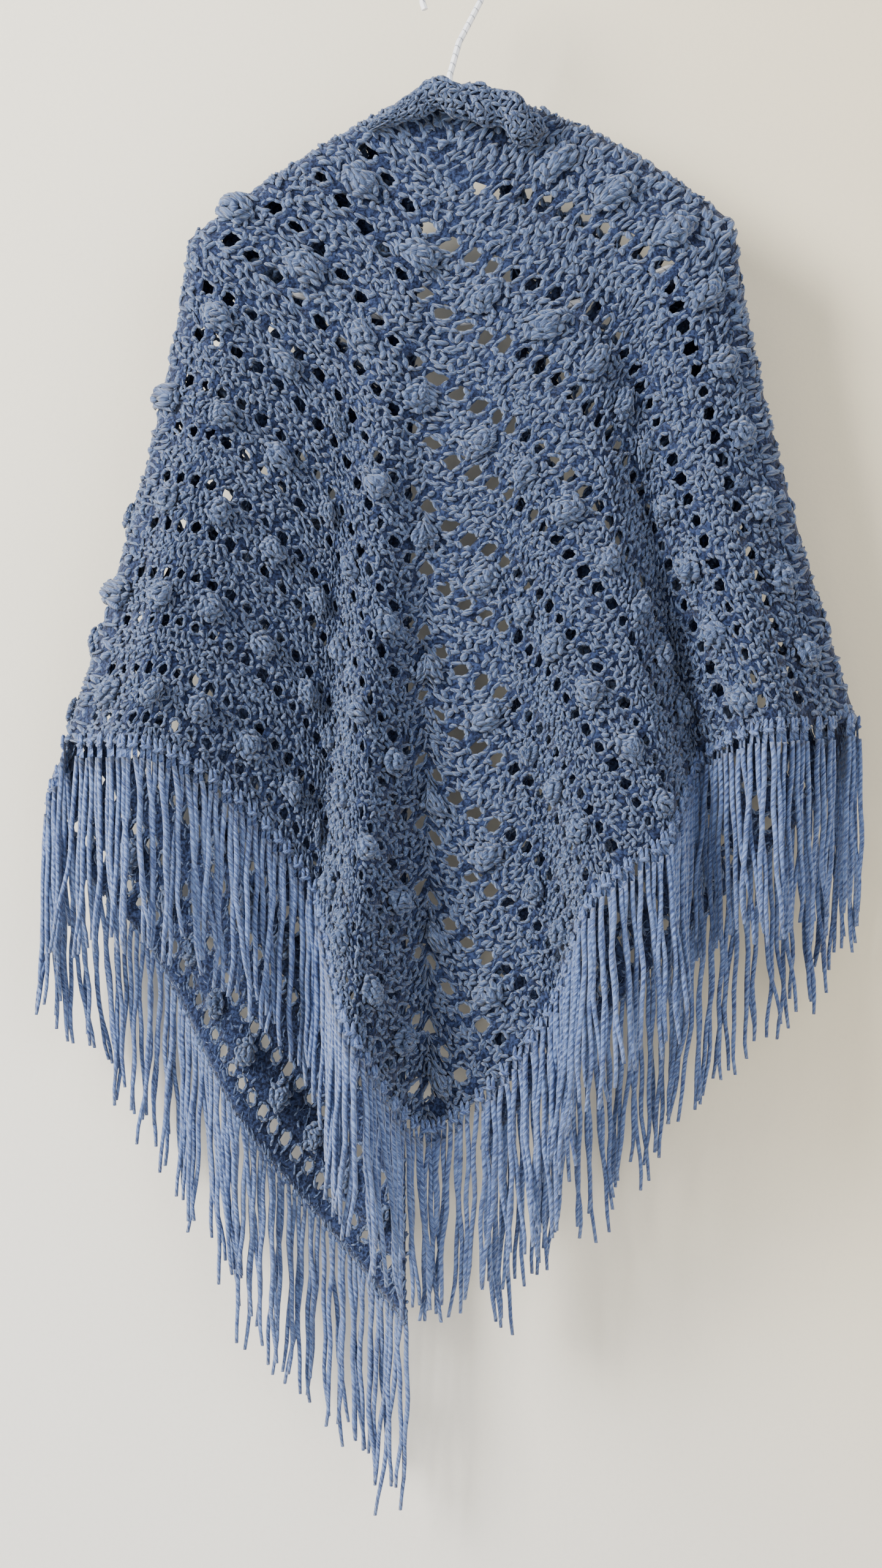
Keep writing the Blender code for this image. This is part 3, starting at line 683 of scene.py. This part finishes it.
def make_stitches(finish):
    """The stitches of the whole cloth, in a few pieces by where they hang."""
    template = stroke_template(STROKE_SIDES, STROKE_RINGS)
    strokes = Strokes()
    for kind, start, width in bands():
        if kind == "eyelets" and abs(start + width / 2 - NECK_B) > FOLD_ROOM:
            lay_eyelets(strokes, start)
        elif kind == "eyelets":
            lay_stitches(strokes, start, width, FEW_ROWS)
        else:
            lay_stitches(strokes, start, width, FEW_ROWS if kind == "edge" else SOLID_ROWS)
    lay_edges(strokes)
    bobbles = all_bobbles()

    def on_cloth(a, b):
        inside = (a > 0) & (b > 0) & (a + b < LEG - STITCH_TRIM)
        at_neck = np.hypot(a - NECK_A, b - NECK_B) < NECK_NOTCH
        return inside & ~at_neck & ~near_bobble(a, b, bobbles)

    b, a, w, lengths = strokes.laid(template, on_cloth, SMALL_GAPS)
    middle_a, middle_b = a.mean(axis=1), b.mean(axis=1)
    front = (middle_a < NECK_A) & (middle_b < NECK_B)
    parts = {
        "stitches_back_left": front & (middle_a - middle_b >= NECK_A - NECK_B),
        "stitches_back_right": front & (middle_a - middle_b < NECK_A - NECK_B),
        "stitches_wing_left": middle_a >= NECK_A,
        "stitches_wing_right": (middle_a < NECK_A) & (middle_b >= NECK_B),
    }
    made = []
    for name, here in parts.items():
        points = hang_cloth(a[here], b[here], w[here])
        made += in_pieces(name, template, points, lengths[here], finish, "yarn")
    return made


def in_pieces(name, template, points, lengths, finish, slot):
    """Splits a great many copies over pieces that each stay under the limit of one mesh."""
    most = PIECE_TRIANGLES // len(template[1])
    count = math.ceil(len(points) / most)
    parts = zip(np.array_split(points, count), np.array_split(lengths, count))
    return [
        joined(f"{name}_{number}" if count > 1 else name, template, *part, finish, slot)
        for number, part in enumerate(parts, 1)
    ]


def lay_bobbles(strokes, b, a, side):
    """Bobbles on one side of the cloth: bundles, then rings of strokes that wind over them."""
    for place, height, length in BUNDLES:
        across = a + place * BOBBLE_WIDTH * BUNDLE_APART
        size = {"length": BOBBLE_LENGTH * length, "width": BOBBLE_WIDTH * BUNDLE_WIDTH}
        strokes.add(b, across, 0.0, w=side * BOBBLE_HEIGHT * height, loose=BUNDLE_LOOSE, **size)
    turned = CHANCE.uniform(0, 2 * math.pi, a.shape)
    for ring, count in BOBBLE_RINGS:
        high = side * (BOBBLE_HEIGHT * math.sqrt(BOBBLE_DOME - ring**2) - BOBBLE_SINK)
        for turn in range(count):
            angle = turned + 2 * math.pi * turn / count
            out_b = ring * BOBBLE_LENGTH / 2 * np.cos(angle)
            out_a = ring * BOBBLE_WIDTH / 2 * np.sin(angle)
            along = angle + math.pi / 2 + BOBBLE_LEANS[turn % 2]
            size = {"length": BOBBLE_STROKE, "width": BOBBLE_YARN, "arch": side * BOBBLE_ARCH}
            strokes.add(b + out_b, a + out_a, along, w=high, **size)


def make_bobbles(finish):
    """The bobbles of the whole cloth; on the wings they show from both sides."""
    template = stroke_template(STROKE_SIDES, STROKE_RINGS)
    b, a = all_bobbles()
    on_front = (a < NECK_A) & (b < NECK_B)
    at_left_fold = np.abs(a - NECK_A) < BOBBLE_WIDTH * BOBBLE_FOLD_ROOM
    at_right_fold = np.abs(b - NECK_B) < BOBBLE_LENGTH * BOBBLE_FOLD_ROOM
    made = []
    for name, side, here in (
        ("bobbles_back", 1, on_front),
        ("bobbles_wings_outer", 1, ~on_front),
        ("bobbles_wings_inner", -1, ~on_front & ~at_left_fold & ~at_right_fold),
    ):
        strokes = Strokes()
        lay_bobbles(strokes, b[here], a[here], side)
        flat_b, flat_a, w, lengths = strokes.laid(template, lambda a, b: a > 0)
        points = hang_cloth(flat_a, flat_b, w)
        made.append(joined(name, template, points, lengths, finish, "yarn"))
    return made


def pattern_lines(last, extra):
    """The lines of the ground across the rows, with those round each fold of the cloth."""
    lines = [0.0]
    for kind, start, width in bands():
        count = FEW_ROWS if kind in ("edge", "eyelets") else SOLID_ROWS
        lines += [start + width * (turn + 1) / count for turn in range(count)]
    return merged(lines, last, extra)


def merged(lines, last, extra):
    """Lines in order up to the last, without those that crowd the extra ones."""
    lines = [line for line in lines if line < last - LAST_LINE_ROOM]
    lines = [line for line in lines if min(abs(line - one) for one in extra) > LINE_ROOM]
    return np.array(sorted([*lines, *extra, last]))


def make_ground(finish):
    """The inner layer of the whole cloth in one sheet, with every eyelet open."""
    columns = [0.0, EDGE_ROW / 2]
    for start in np.arange(EDGE_ROW, LEG, EYELET_PITCH):
        columns += [start, start + EYELET_WIDTH]
    b_lines = pattern_lines(LEG, NECK_B + FOLD_LINES)
    a_lines = merged(columns, LEG, NECK_A + FOLD_LINES)
    bm = bmesh.new()
    across, up = len(b_lines) - 1, len(a_lines) - 1
    bmesh.ops.create_grid(bm, x_segments=across, y_segments=up, size=0.5)
    for vert in bm.verts:
        b = b_lines[round((vert.co.x + 0.5) * across)]
        a = a_lines[round((vert.co.y + 0.5) * up)]
        vert.co = (b, a, 0.0)
    eyelets = []
    for face in bm.faces:
        b, a, _ = face.calc_center_median()
        column = (a - EDGE_ROW) % EYELET_PITCH
        row = (b - EDGE_ROW) % REPEAT
        in_row = row < EYELET_ROW or 0 < row - EYELET_ROW - BOBBLE_BAND < EYELET_ROW
        at_fold = abs(a - NECK_A) < FOLD_ROOM or abs(b - NECK_B) < FOLD_ROOM
        inside = min(a, b) > EDGE_ROW and a + b < LEG - LONG_SIDE_SHUT
        at_neck = math.hypot(a - NECK_A, b - NECK_B) < NECK_SHUT
        if in_row and column < EYELET_WIDTH and inside and not at_fold and not at_neck:
            eyelets.append(face)
    bmesh.ops.delete(bm, geom=eyelets, context="FACES")
    for through, direction in (
        ((LEG - LONG_SIDE_TRIM, 0.0, 0.0), (1.0, 1.0, 0.0)),
        ((LEG_TRIM, 0.0, 0.0), (-1.0, 0.0, 0.0)),
        ((0.0, LEG_TRIM, 0.0), (0.0, -1.0, 0.0)),
    ):
        every = bm.verts[:] + bm.edges[:] + bm.faces[:]
        bmesh.ops.bisect_plane(
            bm, geom=every, dist=TINY, plane_co=through, plane_no=direction, clear_outer=True
        )
    at_neck = []
    for vert in bm.verts:
        if math.hypot(vert.co.x - NECK_B, vert.co.y - NECK_A) < NECK_NOTCH * NOTCH_TRIM:
            at_neck.append(vert)
    bmesh.ops.delete(bm, geom=at_neck, context="VERTS")
    bmesh.ops.solidify(bm, geom=bm.faces[:], thickness=GROUND)
    middle = sum(vert.co.z for vert in bm.verts) / len(bm.verts)
    for vert in bm.verts:
        vert.co.z = GROUND / 2 if vert.co.z > middle else -GROUND / 2
    bmesh.ops.recalc_face_normals(bm, faces=bm.faces)
    flat = np.array([vert.co[:] for vert in bm.verts])
    for vert, point in zip(bm.verts, hang_cloth(flat[:, 1], flat[:, 0], flat[:, 2])):
        vert.co = point
    return show_shape("cloth", bm, finish)


def roll_point(u, v, w):
    """A point on the rolled collar: u along it, v round it and w over its middle skin."""
    share = np.clip(u / ROLL_LENGTH, 0.0, 1.0)
    x, z, radius = (read(COLLAR, name, "along", share) for name in ("across", "height", "radius"))
    after, before = np.minimum(share + ROLL_STEP, 1.0), np.maximum(share - ROLL_STEP, 0.0)
    run_x, run_z = (
        read(COLLAR, name, "along", after) - read(COLLAR, name, "along", before)
        for name in ("across", "height")
    )
    length = np.hypot(run_x, run_z)
    turn = 2 * math.pi * v / ROLL_ROUND
    wide = ROLL_LUMPS[0] * np.sin(share * ROLL_LUMP_TURNS[0] + 2 * np.sin(turn))
    fine = ROLL_LUMPS[1] * np.sin(share * ROLL_LUMP_TURNS[1] + turn)
    size = radius * (1 + wide + fine) - ROLL_SINK + w
    rise = size * np.sin(turn)
    y = -(WRAP + HALF_WALL + ROLL_CLEAR) - radius - size * np.cos(turn)
    return np.stack([x - rise * run_z / length, y, z + rise * run_x / length], axis=-1)


def make_roll(finish, shaded_ground_finish):
    """The collar: the shawl's edge rolled on itself, stitches and all."""
    template = stroke_template(STROKE_SIDES, STROKE_RINGS)
    strokes = Strokes()
    rows = round(ROLL_ROUND / ROLL_ROW)
    for row in range(rows):
        v = (row + 0.5) * ROLL_ROUND / rows
        u = np.arange(ROLL_START * (1 + row % 2), ROLL_LENGTH, STITCH_PITCH)
        lean = ROW_LEAN if row % 2 else -ROW_LEAN
        for side in (-1, 1):
            turned = math.pi / 2 + lean - side * ROLL_POST_LEAN
            strokes.add(u + side * ROLL_POST_APART, v, turned, ROLL_POST)
        top = v + ROLL_LOOP_PLACE
        strokes.add(u, top, lean * ROLL_LOOP_LEAN, ROLL_LOOP, w=ROLL_LOOP_HEIGHT)
    u, v, w, lengths = strokes.laid(template, lambda v, u: u > 0)
    stitches = joined("roll_stitches", template, roll_point(u, v, w), lengths, finish, "yarn")
    # the core of the roll, painted dark as shade like the cloth's inner layer
    bm = tube(ROLL_SIDES, ROLL_RINGS, False)
    for vert in bm.verts:
        turn = math.atan2(vert.co.y, vert.co.x) / (2 * math.pi) * ROLL_ROUND
        vert.co = roll_point(np.array((vert.co.z + 0.5) * ROLL_LENGTH), turn, ROLL_CORE)
    bmesh.ops.recalc_face_normals(bm, faces=bm.faces)
    return show_shape("roll", bm, shaded_ground_finish), stitches


def hem_frame(panel, leg, roots):
    """Places on a hem, with the level direction along it and the one out of the cloth."""
    zero = np.zeros(roots.shape)

    def at(along, below, w):
        return drape(panel, along, -below, w) if leg == "a" else drape(panel, -below, along, w)

    hem = at(roots, zero + HEM_DOWN, zero)
    tangent = at(roots + CLOTH_STEP, zero, zero) - at(roots - CLOTH_STEP, zero, zero)
    tangent[:, 2] = 0.0
    tangent /= np.linalg.norm(tangent, axis=1, keepdims=True)
    outward = np.stack([tangent[:, 1], -tangent[:, 0], zero], axis=1)
    facing = ((at(roots, zero, zero + HEM_OUT) - hem) * outward).sum(axis=1)
    return hem, tangent, outward * np.sign(facing)[:, None]


def make_fringe(node, panel, leg, finish):
    """The strands of one stretch of the hem, two from each knot, and the knots."""
    first, last = FRINGE_REACH[panel][leg]
    places = np.arange(first + FIRST_KNOT, last - LAST_KNOT, KNOT_PITCH)
    places = places + CHANCE.normal(0, STRAY_KNOT, places.shape)
    roots = np.repeat(places, 2)
    pair = np.tile([-1.0, 1.0], len(places))[:, None]
    count = len(roots)
    uneven = CHANCE.normal(0, UNEVEN, count).clip(-MOST_UNEVEN, MOST_UNEVEN)
    lengths = STRAND_LENGTH * (1 + uneven)
    hem, tangent, outward = hem_frame(panel, leg, roots)
    template = strand_template(STRAND_SIDES, STRAND_RINGS)
    t, across, up = (column[None, :] for column in template[0].T)
    waves = CHANCE.uniform(0, 2 * math.pi, (4, count, 1))
    shared = SHARED_LEAN * np.sin(roots * SHARED_TURNS + SHARED_START)[:, None]
    lean = CHANCE.normal(0, STRAY_LEAN, (count, 1)) + shared
    depth_lean = CHANCE.normal(0, DEPTH_LEAN, (count, 1))
    size = STRAND_WIDTH / 2 * (1 - TIP_TAPER * t**4) * (1 + SLUB * np.sin(waves[3] + SLUB_TURNS * t))
    sway = lean * t**LEAN_CURVE
    sway = sway + SIDE_WAVES[0] * t * np.sin(waves[0] + SIDE_TURNS[0] * t)
    sway = sway + SIDE_WAVES[1] * np.sin(waves[1] + SIDE_TURNS[1] * t)
    spread = np.sin(math.pi / 2 * np.minimum(t * PAIR_SPREAD, 1))
    side = sway + pair * (PAIR_APART[0] + PAIR_APART[1] * spread) + across * size
    depth = STRAND_STANDOFF + depth_lean * t**DEPTH_CURVE
    out = depth + DEPTH_WAVE * t * np.sin(waves[2] + DEPTH_TURNS * t) + up * size
    curve = placed(hem, tangent, outward, side, out)
    curve[..., 2] -= t * lengths[:, None] - STRAND_RISE
    name = node.replace("fringe", "strands")
    strands = joined(name, template, curve, lengths, finish, "fringe")
    knots = make_knots(name + "_knots", hem[::2], tangent[::2], outward[::2], finish)
    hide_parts(node)
    return [strands, knots]


def placed(hem, tangent, outward, side, out):
    """Points beside each place on the hem, so far along it and so far out of the cloth."""
    beside = tangent[:, None, :] * side[..., None]
    return hem[:, None, :] + beside + outward[:, None, :] * out[..., None]


def make_knots(name, hem, tangent, outward, finish):
    """A cow-hitch over the edge at every root: a bar across two short uprights."""
    template = stroke_template(HITCH_SIDES, STROKE_RINGS)
    along, across, up = (column[None, :] for column in template[0].T)
    points = []
    lengths = []
    for shift, turned, half, standoff, lift in HITCH:
        angle = (CHANCE.normal(0.0, STRAY_HITCH, len(hem)) + turned)[:, None]
        x, y = along * half, across * YARN / 2
        side = x * np.cos(angle) - y * np.sin(angle) + shift
        curve = placed(hem, tangent, outward, side, standoff + up * YARN / 2)
        curve[..., 2] += x * np.sin(angle) + y * np.cos(angle) + lift
        points.append(curve)
        lengths.append(np.full(len(hem), half))
    return joined(name, template, np.concatenate(points), np.concatenate(lengths), finish, "fringe")


class Value:
    """A socket of a finish; arithmetic with it adds Math nodes."""

    def __init__(self, finish, socket):
        self.finish = finish
        self.socket = socket

    def math(self, operation, *others):
        """One Math node of this value and up to two others."""
        values = dict(enumerate((self, *others)))
        return self.finish.node("ShaderNodeMath", {"operation": operation}, values)

    def __add__(self, other):
        return self.math("ADD", other)

    def __mul__(self, other):
        return self.math("MULTIPLY", other)

    def __sub__(self, other):
        return self.math("SUBTRACT", other)

    def __rsub__(self, other):
        return (self * -1.0) + other

    __radd__ = __add__
    __rmul__ = __mul__

    def spread(self, low, high):
        """From 0 to 1 with a soft start and end as this value goes from low to high."""
        settings = {"interpolation_type": "SMOOTHSTEP"}
        return self.finish.node("ShaderNodeMapRange", settings, {0: self, 1: low, 2: high})


class Finish:
    """A material under construction."""

    def __init__(self, name, **sockets):
        self.material = bpy.data.materials.new(name)
        self.material.use_nodes = True
        self.tree = self.material.node_tree
        self.shader = self.tree.nodes["Principled BSDF"]
        for socket, value in sockets.items():
            self.set(socket.replace("_", " "), value)

    def node(self, kind, settings=None, values=None, out=0):
        """Adds a node: its settings first, then the values or links of its sockets."""
        node = self.tree.nodes.new(kind)
        for key, value in (settings or {}).items():
            if key == "stops":
                while len(node.color_ramp.elements) < len(value):
                    node.color_ramp.elements.new(1.0)
                for element, (place, shade) in zip(node.color_ramp.elements, value):
                    element.position = place
                    element.color = shade
            else:
                setattr(node, key, value)
        for key, value in (values or {}).items():
            self.join(node.inputs[key], value)
        return Value(self, node.outputs[out])

    def join(self, socket, value):
        """Links a value to a socket, or sets the socket."""
        if isinstance(value, Value):
            self.tree.links.new(value.socket, socket)
        else:
            socket.default_value = value

    def set(self, socket, value):
        """Gives the shader's own socket a value or a link."""
        self.join(self.shader.inputs[socket], value)

    def split(self, vector):
        """The three components of a vector."""
        node = self.node("ShaderNodeSeparateXYZ", None, {0: vector}).socket.node
        return [Value(self, socket) for socket in node.outputs]

    def noise(self, where, scale, detail=2.0, roughness=0.5):
        """Noise from 0 to 1 round a half."""
        values = {"Vector": where, "Scale": scale, "Detail": detail, "Roughness": roughness}
        return self.node("ShaderNodeTexNoise", None, values)

    def mix(self, share, first, second):
        """A colour between two."""
        values = {"Factor": share, 6: first, 7: second}
        return self.node("ShaderNodeMix", {"data_type": "RGBA"}, values, out=2)

    def bump(self, height, strength, distance, under=None):
        """A Bump node over an earlier one."""
        values = {"Height": height, "Strength": strength, "Distance": distance}
        if under is not None:
            values["Normal"] = under
        return self.node("ShaderNodeBump", None, values)


def shade(red, green, blue):
    """A colour from its screen values, as the shader takes it."""
    linear = [((part / 255 + 0.055) / 1.055) ** 2.4 for part in (red, green, blue)]
    return (*linear, 1.0)


def yarn_finish(name, light, middle, dark_fibres_and_shade):
    """Marled two-ply yarn: light and dark fibres that wind round each stroke, soft and matt, with
    painted shade in the grooves between the plies.
    """
    finish = Finish(name, Roughness=0.86, Sheen_Weight=0.35, Sheen_Roughness=0.45)
    finish.set("Specular IOR Level", 0.18)
    uv = finish.node("ShaderNodeTexCoord", out="UV")
    spot = finish.node("ShaderNodeTexCoord", out="Object")
    around, along, _ = finish.split(uv)
    wind = around * 2.0 + along * PLY_TURNS
    ply = (wind * (2 * math.pi)).math("SINE")
    drawn = finish.node("ShaderNodeCombineXYZ", None, {0: wind * 2.2, 1: along * 0.55})
    fibre = finish.noise(drawn, 4.2, 3.0, 0.62)
    marl = finish.noise(drawn, 1.15, 2.0, 0.5)
    patch = finish.noise(spot, 26.0, 3.0, 0.55)
    colour = finish.mix(marl.spread(0.36, 0.62), dark_fibres_and_shade, middle)
    colour = finish.mix(fibre.spread(0.46, 0.74) * 0.85, colour, light)
    colour = finish.mix(patch.spread(0.30, 0.72) * 0.22, colour, middle)
    # painted shade: the grooves between the winding plies are darkened towards the dark colour
    colour = finish.mix((ply * -0.5 + 0.5).math("POWER", 2.2) * 0.42, colour, dark_fibres_and_shade)
    finish.set("Base Color", colour)
    fuzz = finish.noise(spot, 1500.0, 2.0, 0.6)
    plies = finish.bump(ply * 0.5 + fibre * 0.9, 0.9, 0.0009)
    finish.set("Normal", finish.bump(fuzz, 0.5, 0.0004, plies))
    return finish.material


def shaded_ground_finish():
    """The yarn that lies deep between the stitches, painted far darker than the yarn as the shade
    that falls there.
    """
    finish = Finish("yarn between stitches in painted shade", Roughness=0.95, Sheen_Weight=0.2)
    finish.set("Specular IOR Level", 0.05)
    spot = finish.node("ShaderNodeTexCoord", out="Object")
    strands = finish.noise(spot, 420.0, 3.0, 0.6)
    # painted shade: both colours are far darker than the yarn, for the shade deep between the
    # stitches
    colour = finish.mix(strands.spread(0.35, 0.7), shade(13, 20, 42), shade(52, 66, 102))
    finish.set("Base Color", colour)
    finish.set("Normal", finish.bump(strands, 0.9, 0.0016))
    return finish.material


def wire_finish():
    """White wound coating on the hanger's wire."""
    finish = Finish("wound white coating", Roughness=0.42)
    spot = finish.node("ShaderNodeTexCoord", out="Object")
    across, depth, height = finish.split(spot)
    wobble = finish.noise(spot, 60.0, 2.0) * 0.3
    turns = across * 95.0 + height * 130.0 + depth * 60.0 + wobble
    seam = turns.math("FRACT").math("PINGPONG", 0.5).spread(0.0, 0.11)
    grime = finish.noise(spot, 90.0, 4.0, 0.6)
    colour = finish.mix(grime.spread(0.35, 0.75), shade(247, 248, 252), shade(222, 226, 233))
    colour = finish.mix((1 - seam) * 0.8, colour, shade(112, 118, 132))
    finish.set("Base Color", colour)
    finish.set("Normal", finish.bump(seam + grime * 0.3, 0.5, 0.0006))
    return finish.material


def wall_finish():
    """Painted plaster, with painted light and shade across it, which is only seen from the shawl's
    side.
    """
    finish = Finish("wall paint", Roughness=0.9)
    finish.set("Specular IOR Level", 0.12)
    spot = finish.node("ShaderNodeTexCoord", out="Object")
    across, _, height = finish.split(spot)
    cloud = finish.noise(spot, 1.6, 3.0, 0.5)
    grain = finish.noise(spot, 240.0, 4.0, 0.62)
    # painted shade: the wall turns warmer and darker towards the right
    warm_shade_to_right = (across * 0.9 + 0.5).spread(0.05, 1.0)
    colour = finish.mix(warm_shade_to_right, shade(240, 235, 219), shade(240, 227, 196))
    # painted light: the wall turns paler and more neutral low down, most of all on the left
    low = ((height + across * 0.55) * -1.0).spread(0.55, 1.35)
    colour = finish.mix(low * 0.75, colour, shade(244, 243, 240))
    colour = finish.mix(cloud.spread(0.3, 0.8) * 0.20, colour, shade(226, 220, 205))
    colour = finish.mix(grain.spread(0.45, 0.85) * 0.10, colour, shade(196, 191, 180))
    finish.set("Base Color", colour)
    finish.set("Normal", finish.bump(grain, 0.16, 0.0012))
    clear = finish.node("ShaderNodeBsdfTransparent")
    behind = finish.node("ShaderNodeNewGeometry", out="Backfacing")
    output = finish.tree.nodes["Material Output"]
    shader = Value(finish, finish.shader.outputs[0])
    mixed = finish.node("ShaderNodeMixShader", None, {0: behind, 1: shader, 2: clear})
    finish.join(output.inputs[0], mixed)
    return finish.material


def floor_finish():
    """Pale floor."""
    finish = Finish("floor paint", Roughness=0.8)
    spot = finish.node("ShaderNodeTexCoord", out="Object")
    cloud = finish.noise(spot, 3.0, 4.0, 0.6)
    finish.set("Base Color", finish.mix(cloud, shade(205, 202, 194), shade(190, 186, 178)))
    return finish.material


def stage_plane(name, turn, place, finish):
    """A flat stage surface, which casts no shadow on the shawl."""
    bm = bmesh.new()
    bmesh.ops.create_grid(bm, x_segments=1, y_segments=1, size=STAGE_SIZE / 2)
    bmesh.ops.rotate(bm, verts=bm.verts, matrix=Matrix.Rotation(turn, 3, "X"))
    bmesh.ops.translate(bm, verts=bm.verts, vec=place)
    mesh = bpy.data.meshes.new(name)
    bm.to_mesh(mesh)
    bm.free()
    surface = bpy.data.objects.new(name, mesh)
    mesh.materials.append(finish)
    bpy.context.scene.collection.objects.link(surface)
    surface.visible_shadow = False
    surface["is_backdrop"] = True


def add_light(name, place, size, power, colour):
    """A soft light that looks at the middle of the shawl."""
    light = bpy.data.lights.new(name, "AREA")
    light.shape = "RECTANGLE"
    light.size, light.size_y = size
    light.energy = power
    light.color = colour
    lamp = bpy.data.objects.new(name, light)
    lamp.location = place
    lamp.rotation_euler = (Vector(LOOK_AT) - lamp.location).to_track_quat("-Z", "Y").to_euler()
    bpy.context.scene.collection.objects.link(lamp)


def light_and_camera():
    """Soft daylight from the left, a plain wall and floor, and the camera."""
    stage_plane("wall", math.pi / 2, (0.0, WALL_DEPTH, LOOK_AT[2]), wall_finish())
    stage_plane("floor", 0.0, (0.0, 0.0, FLOOR_HEIGHT), floor_finish())
    world = bpy.data.worlds.new("room")
    bpy.context.scene.world = world
    world.use_nodes = True
    background = world.node_tree.nodes["Background"]
    background.inputs["Color"].default_value = SKY_COLOUR
    background.inputs["Strength"].default_value = SKY_STRENGTH
    for name, light in LIGHTS.items():
        add_light(name, *light)
    view = bpy.data.cameras.new("camera")
    view.lens = CAMERA_LENS
    view.sensor_width = CAMERA_SENSOR
    camera = bpy.data.objects.new("camera", view)
    camera.location = (VIEW_CENTRE[0], -VIEW_DISTANCE, VIEW_CENTRE[1])
    camera.rotation_euler = (math.pi / 2, 0.0, 0.0)
    bpy.context.scene.collection.objects.link(camera)
    bpy.context.scene.camera = camera


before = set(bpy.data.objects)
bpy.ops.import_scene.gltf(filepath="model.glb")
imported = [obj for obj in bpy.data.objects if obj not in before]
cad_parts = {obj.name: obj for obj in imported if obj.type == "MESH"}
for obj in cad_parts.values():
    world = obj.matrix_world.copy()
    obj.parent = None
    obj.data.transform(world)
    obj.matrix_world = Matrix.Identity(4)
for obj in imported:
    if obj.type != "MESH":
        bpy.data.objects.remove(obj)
cad_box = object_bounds()

yarn = yarn_finish("marled yarn", *(shade(*colour) for colour in YARN_SHADES))
fringe_yarn = yarn_finish("fringe yarn", *(shade(*colour) for colour in FRINGE_SHADES))
painted_shade_yarn = shaded_ground_finish()

cloth = make_ground(painted_shade_yarn)
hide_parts("back_panel", "wing_left", "wing_right")
stitches = make_stitches(yarn)
bobbles = make_bobbles(yarn)
roll, roll_stitches = make_roll(yarn, painted_shade_yarn)
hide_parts("neck_roll")
fringes = []
for fringe_node, (panel, leg) in FRINGES.items():
    fringes += make_fringe(fringe_node, panel, leg, fringe_yarn)

white = wire_finish()
for node in ("hanger_hook", "hanger_frame"):
    for material_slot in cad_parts[node].material_slots:
        material_slot.material = white

light_and_camera()

[[list(map(float, corner)) for corner in box] for box in (cad_box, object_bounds())]
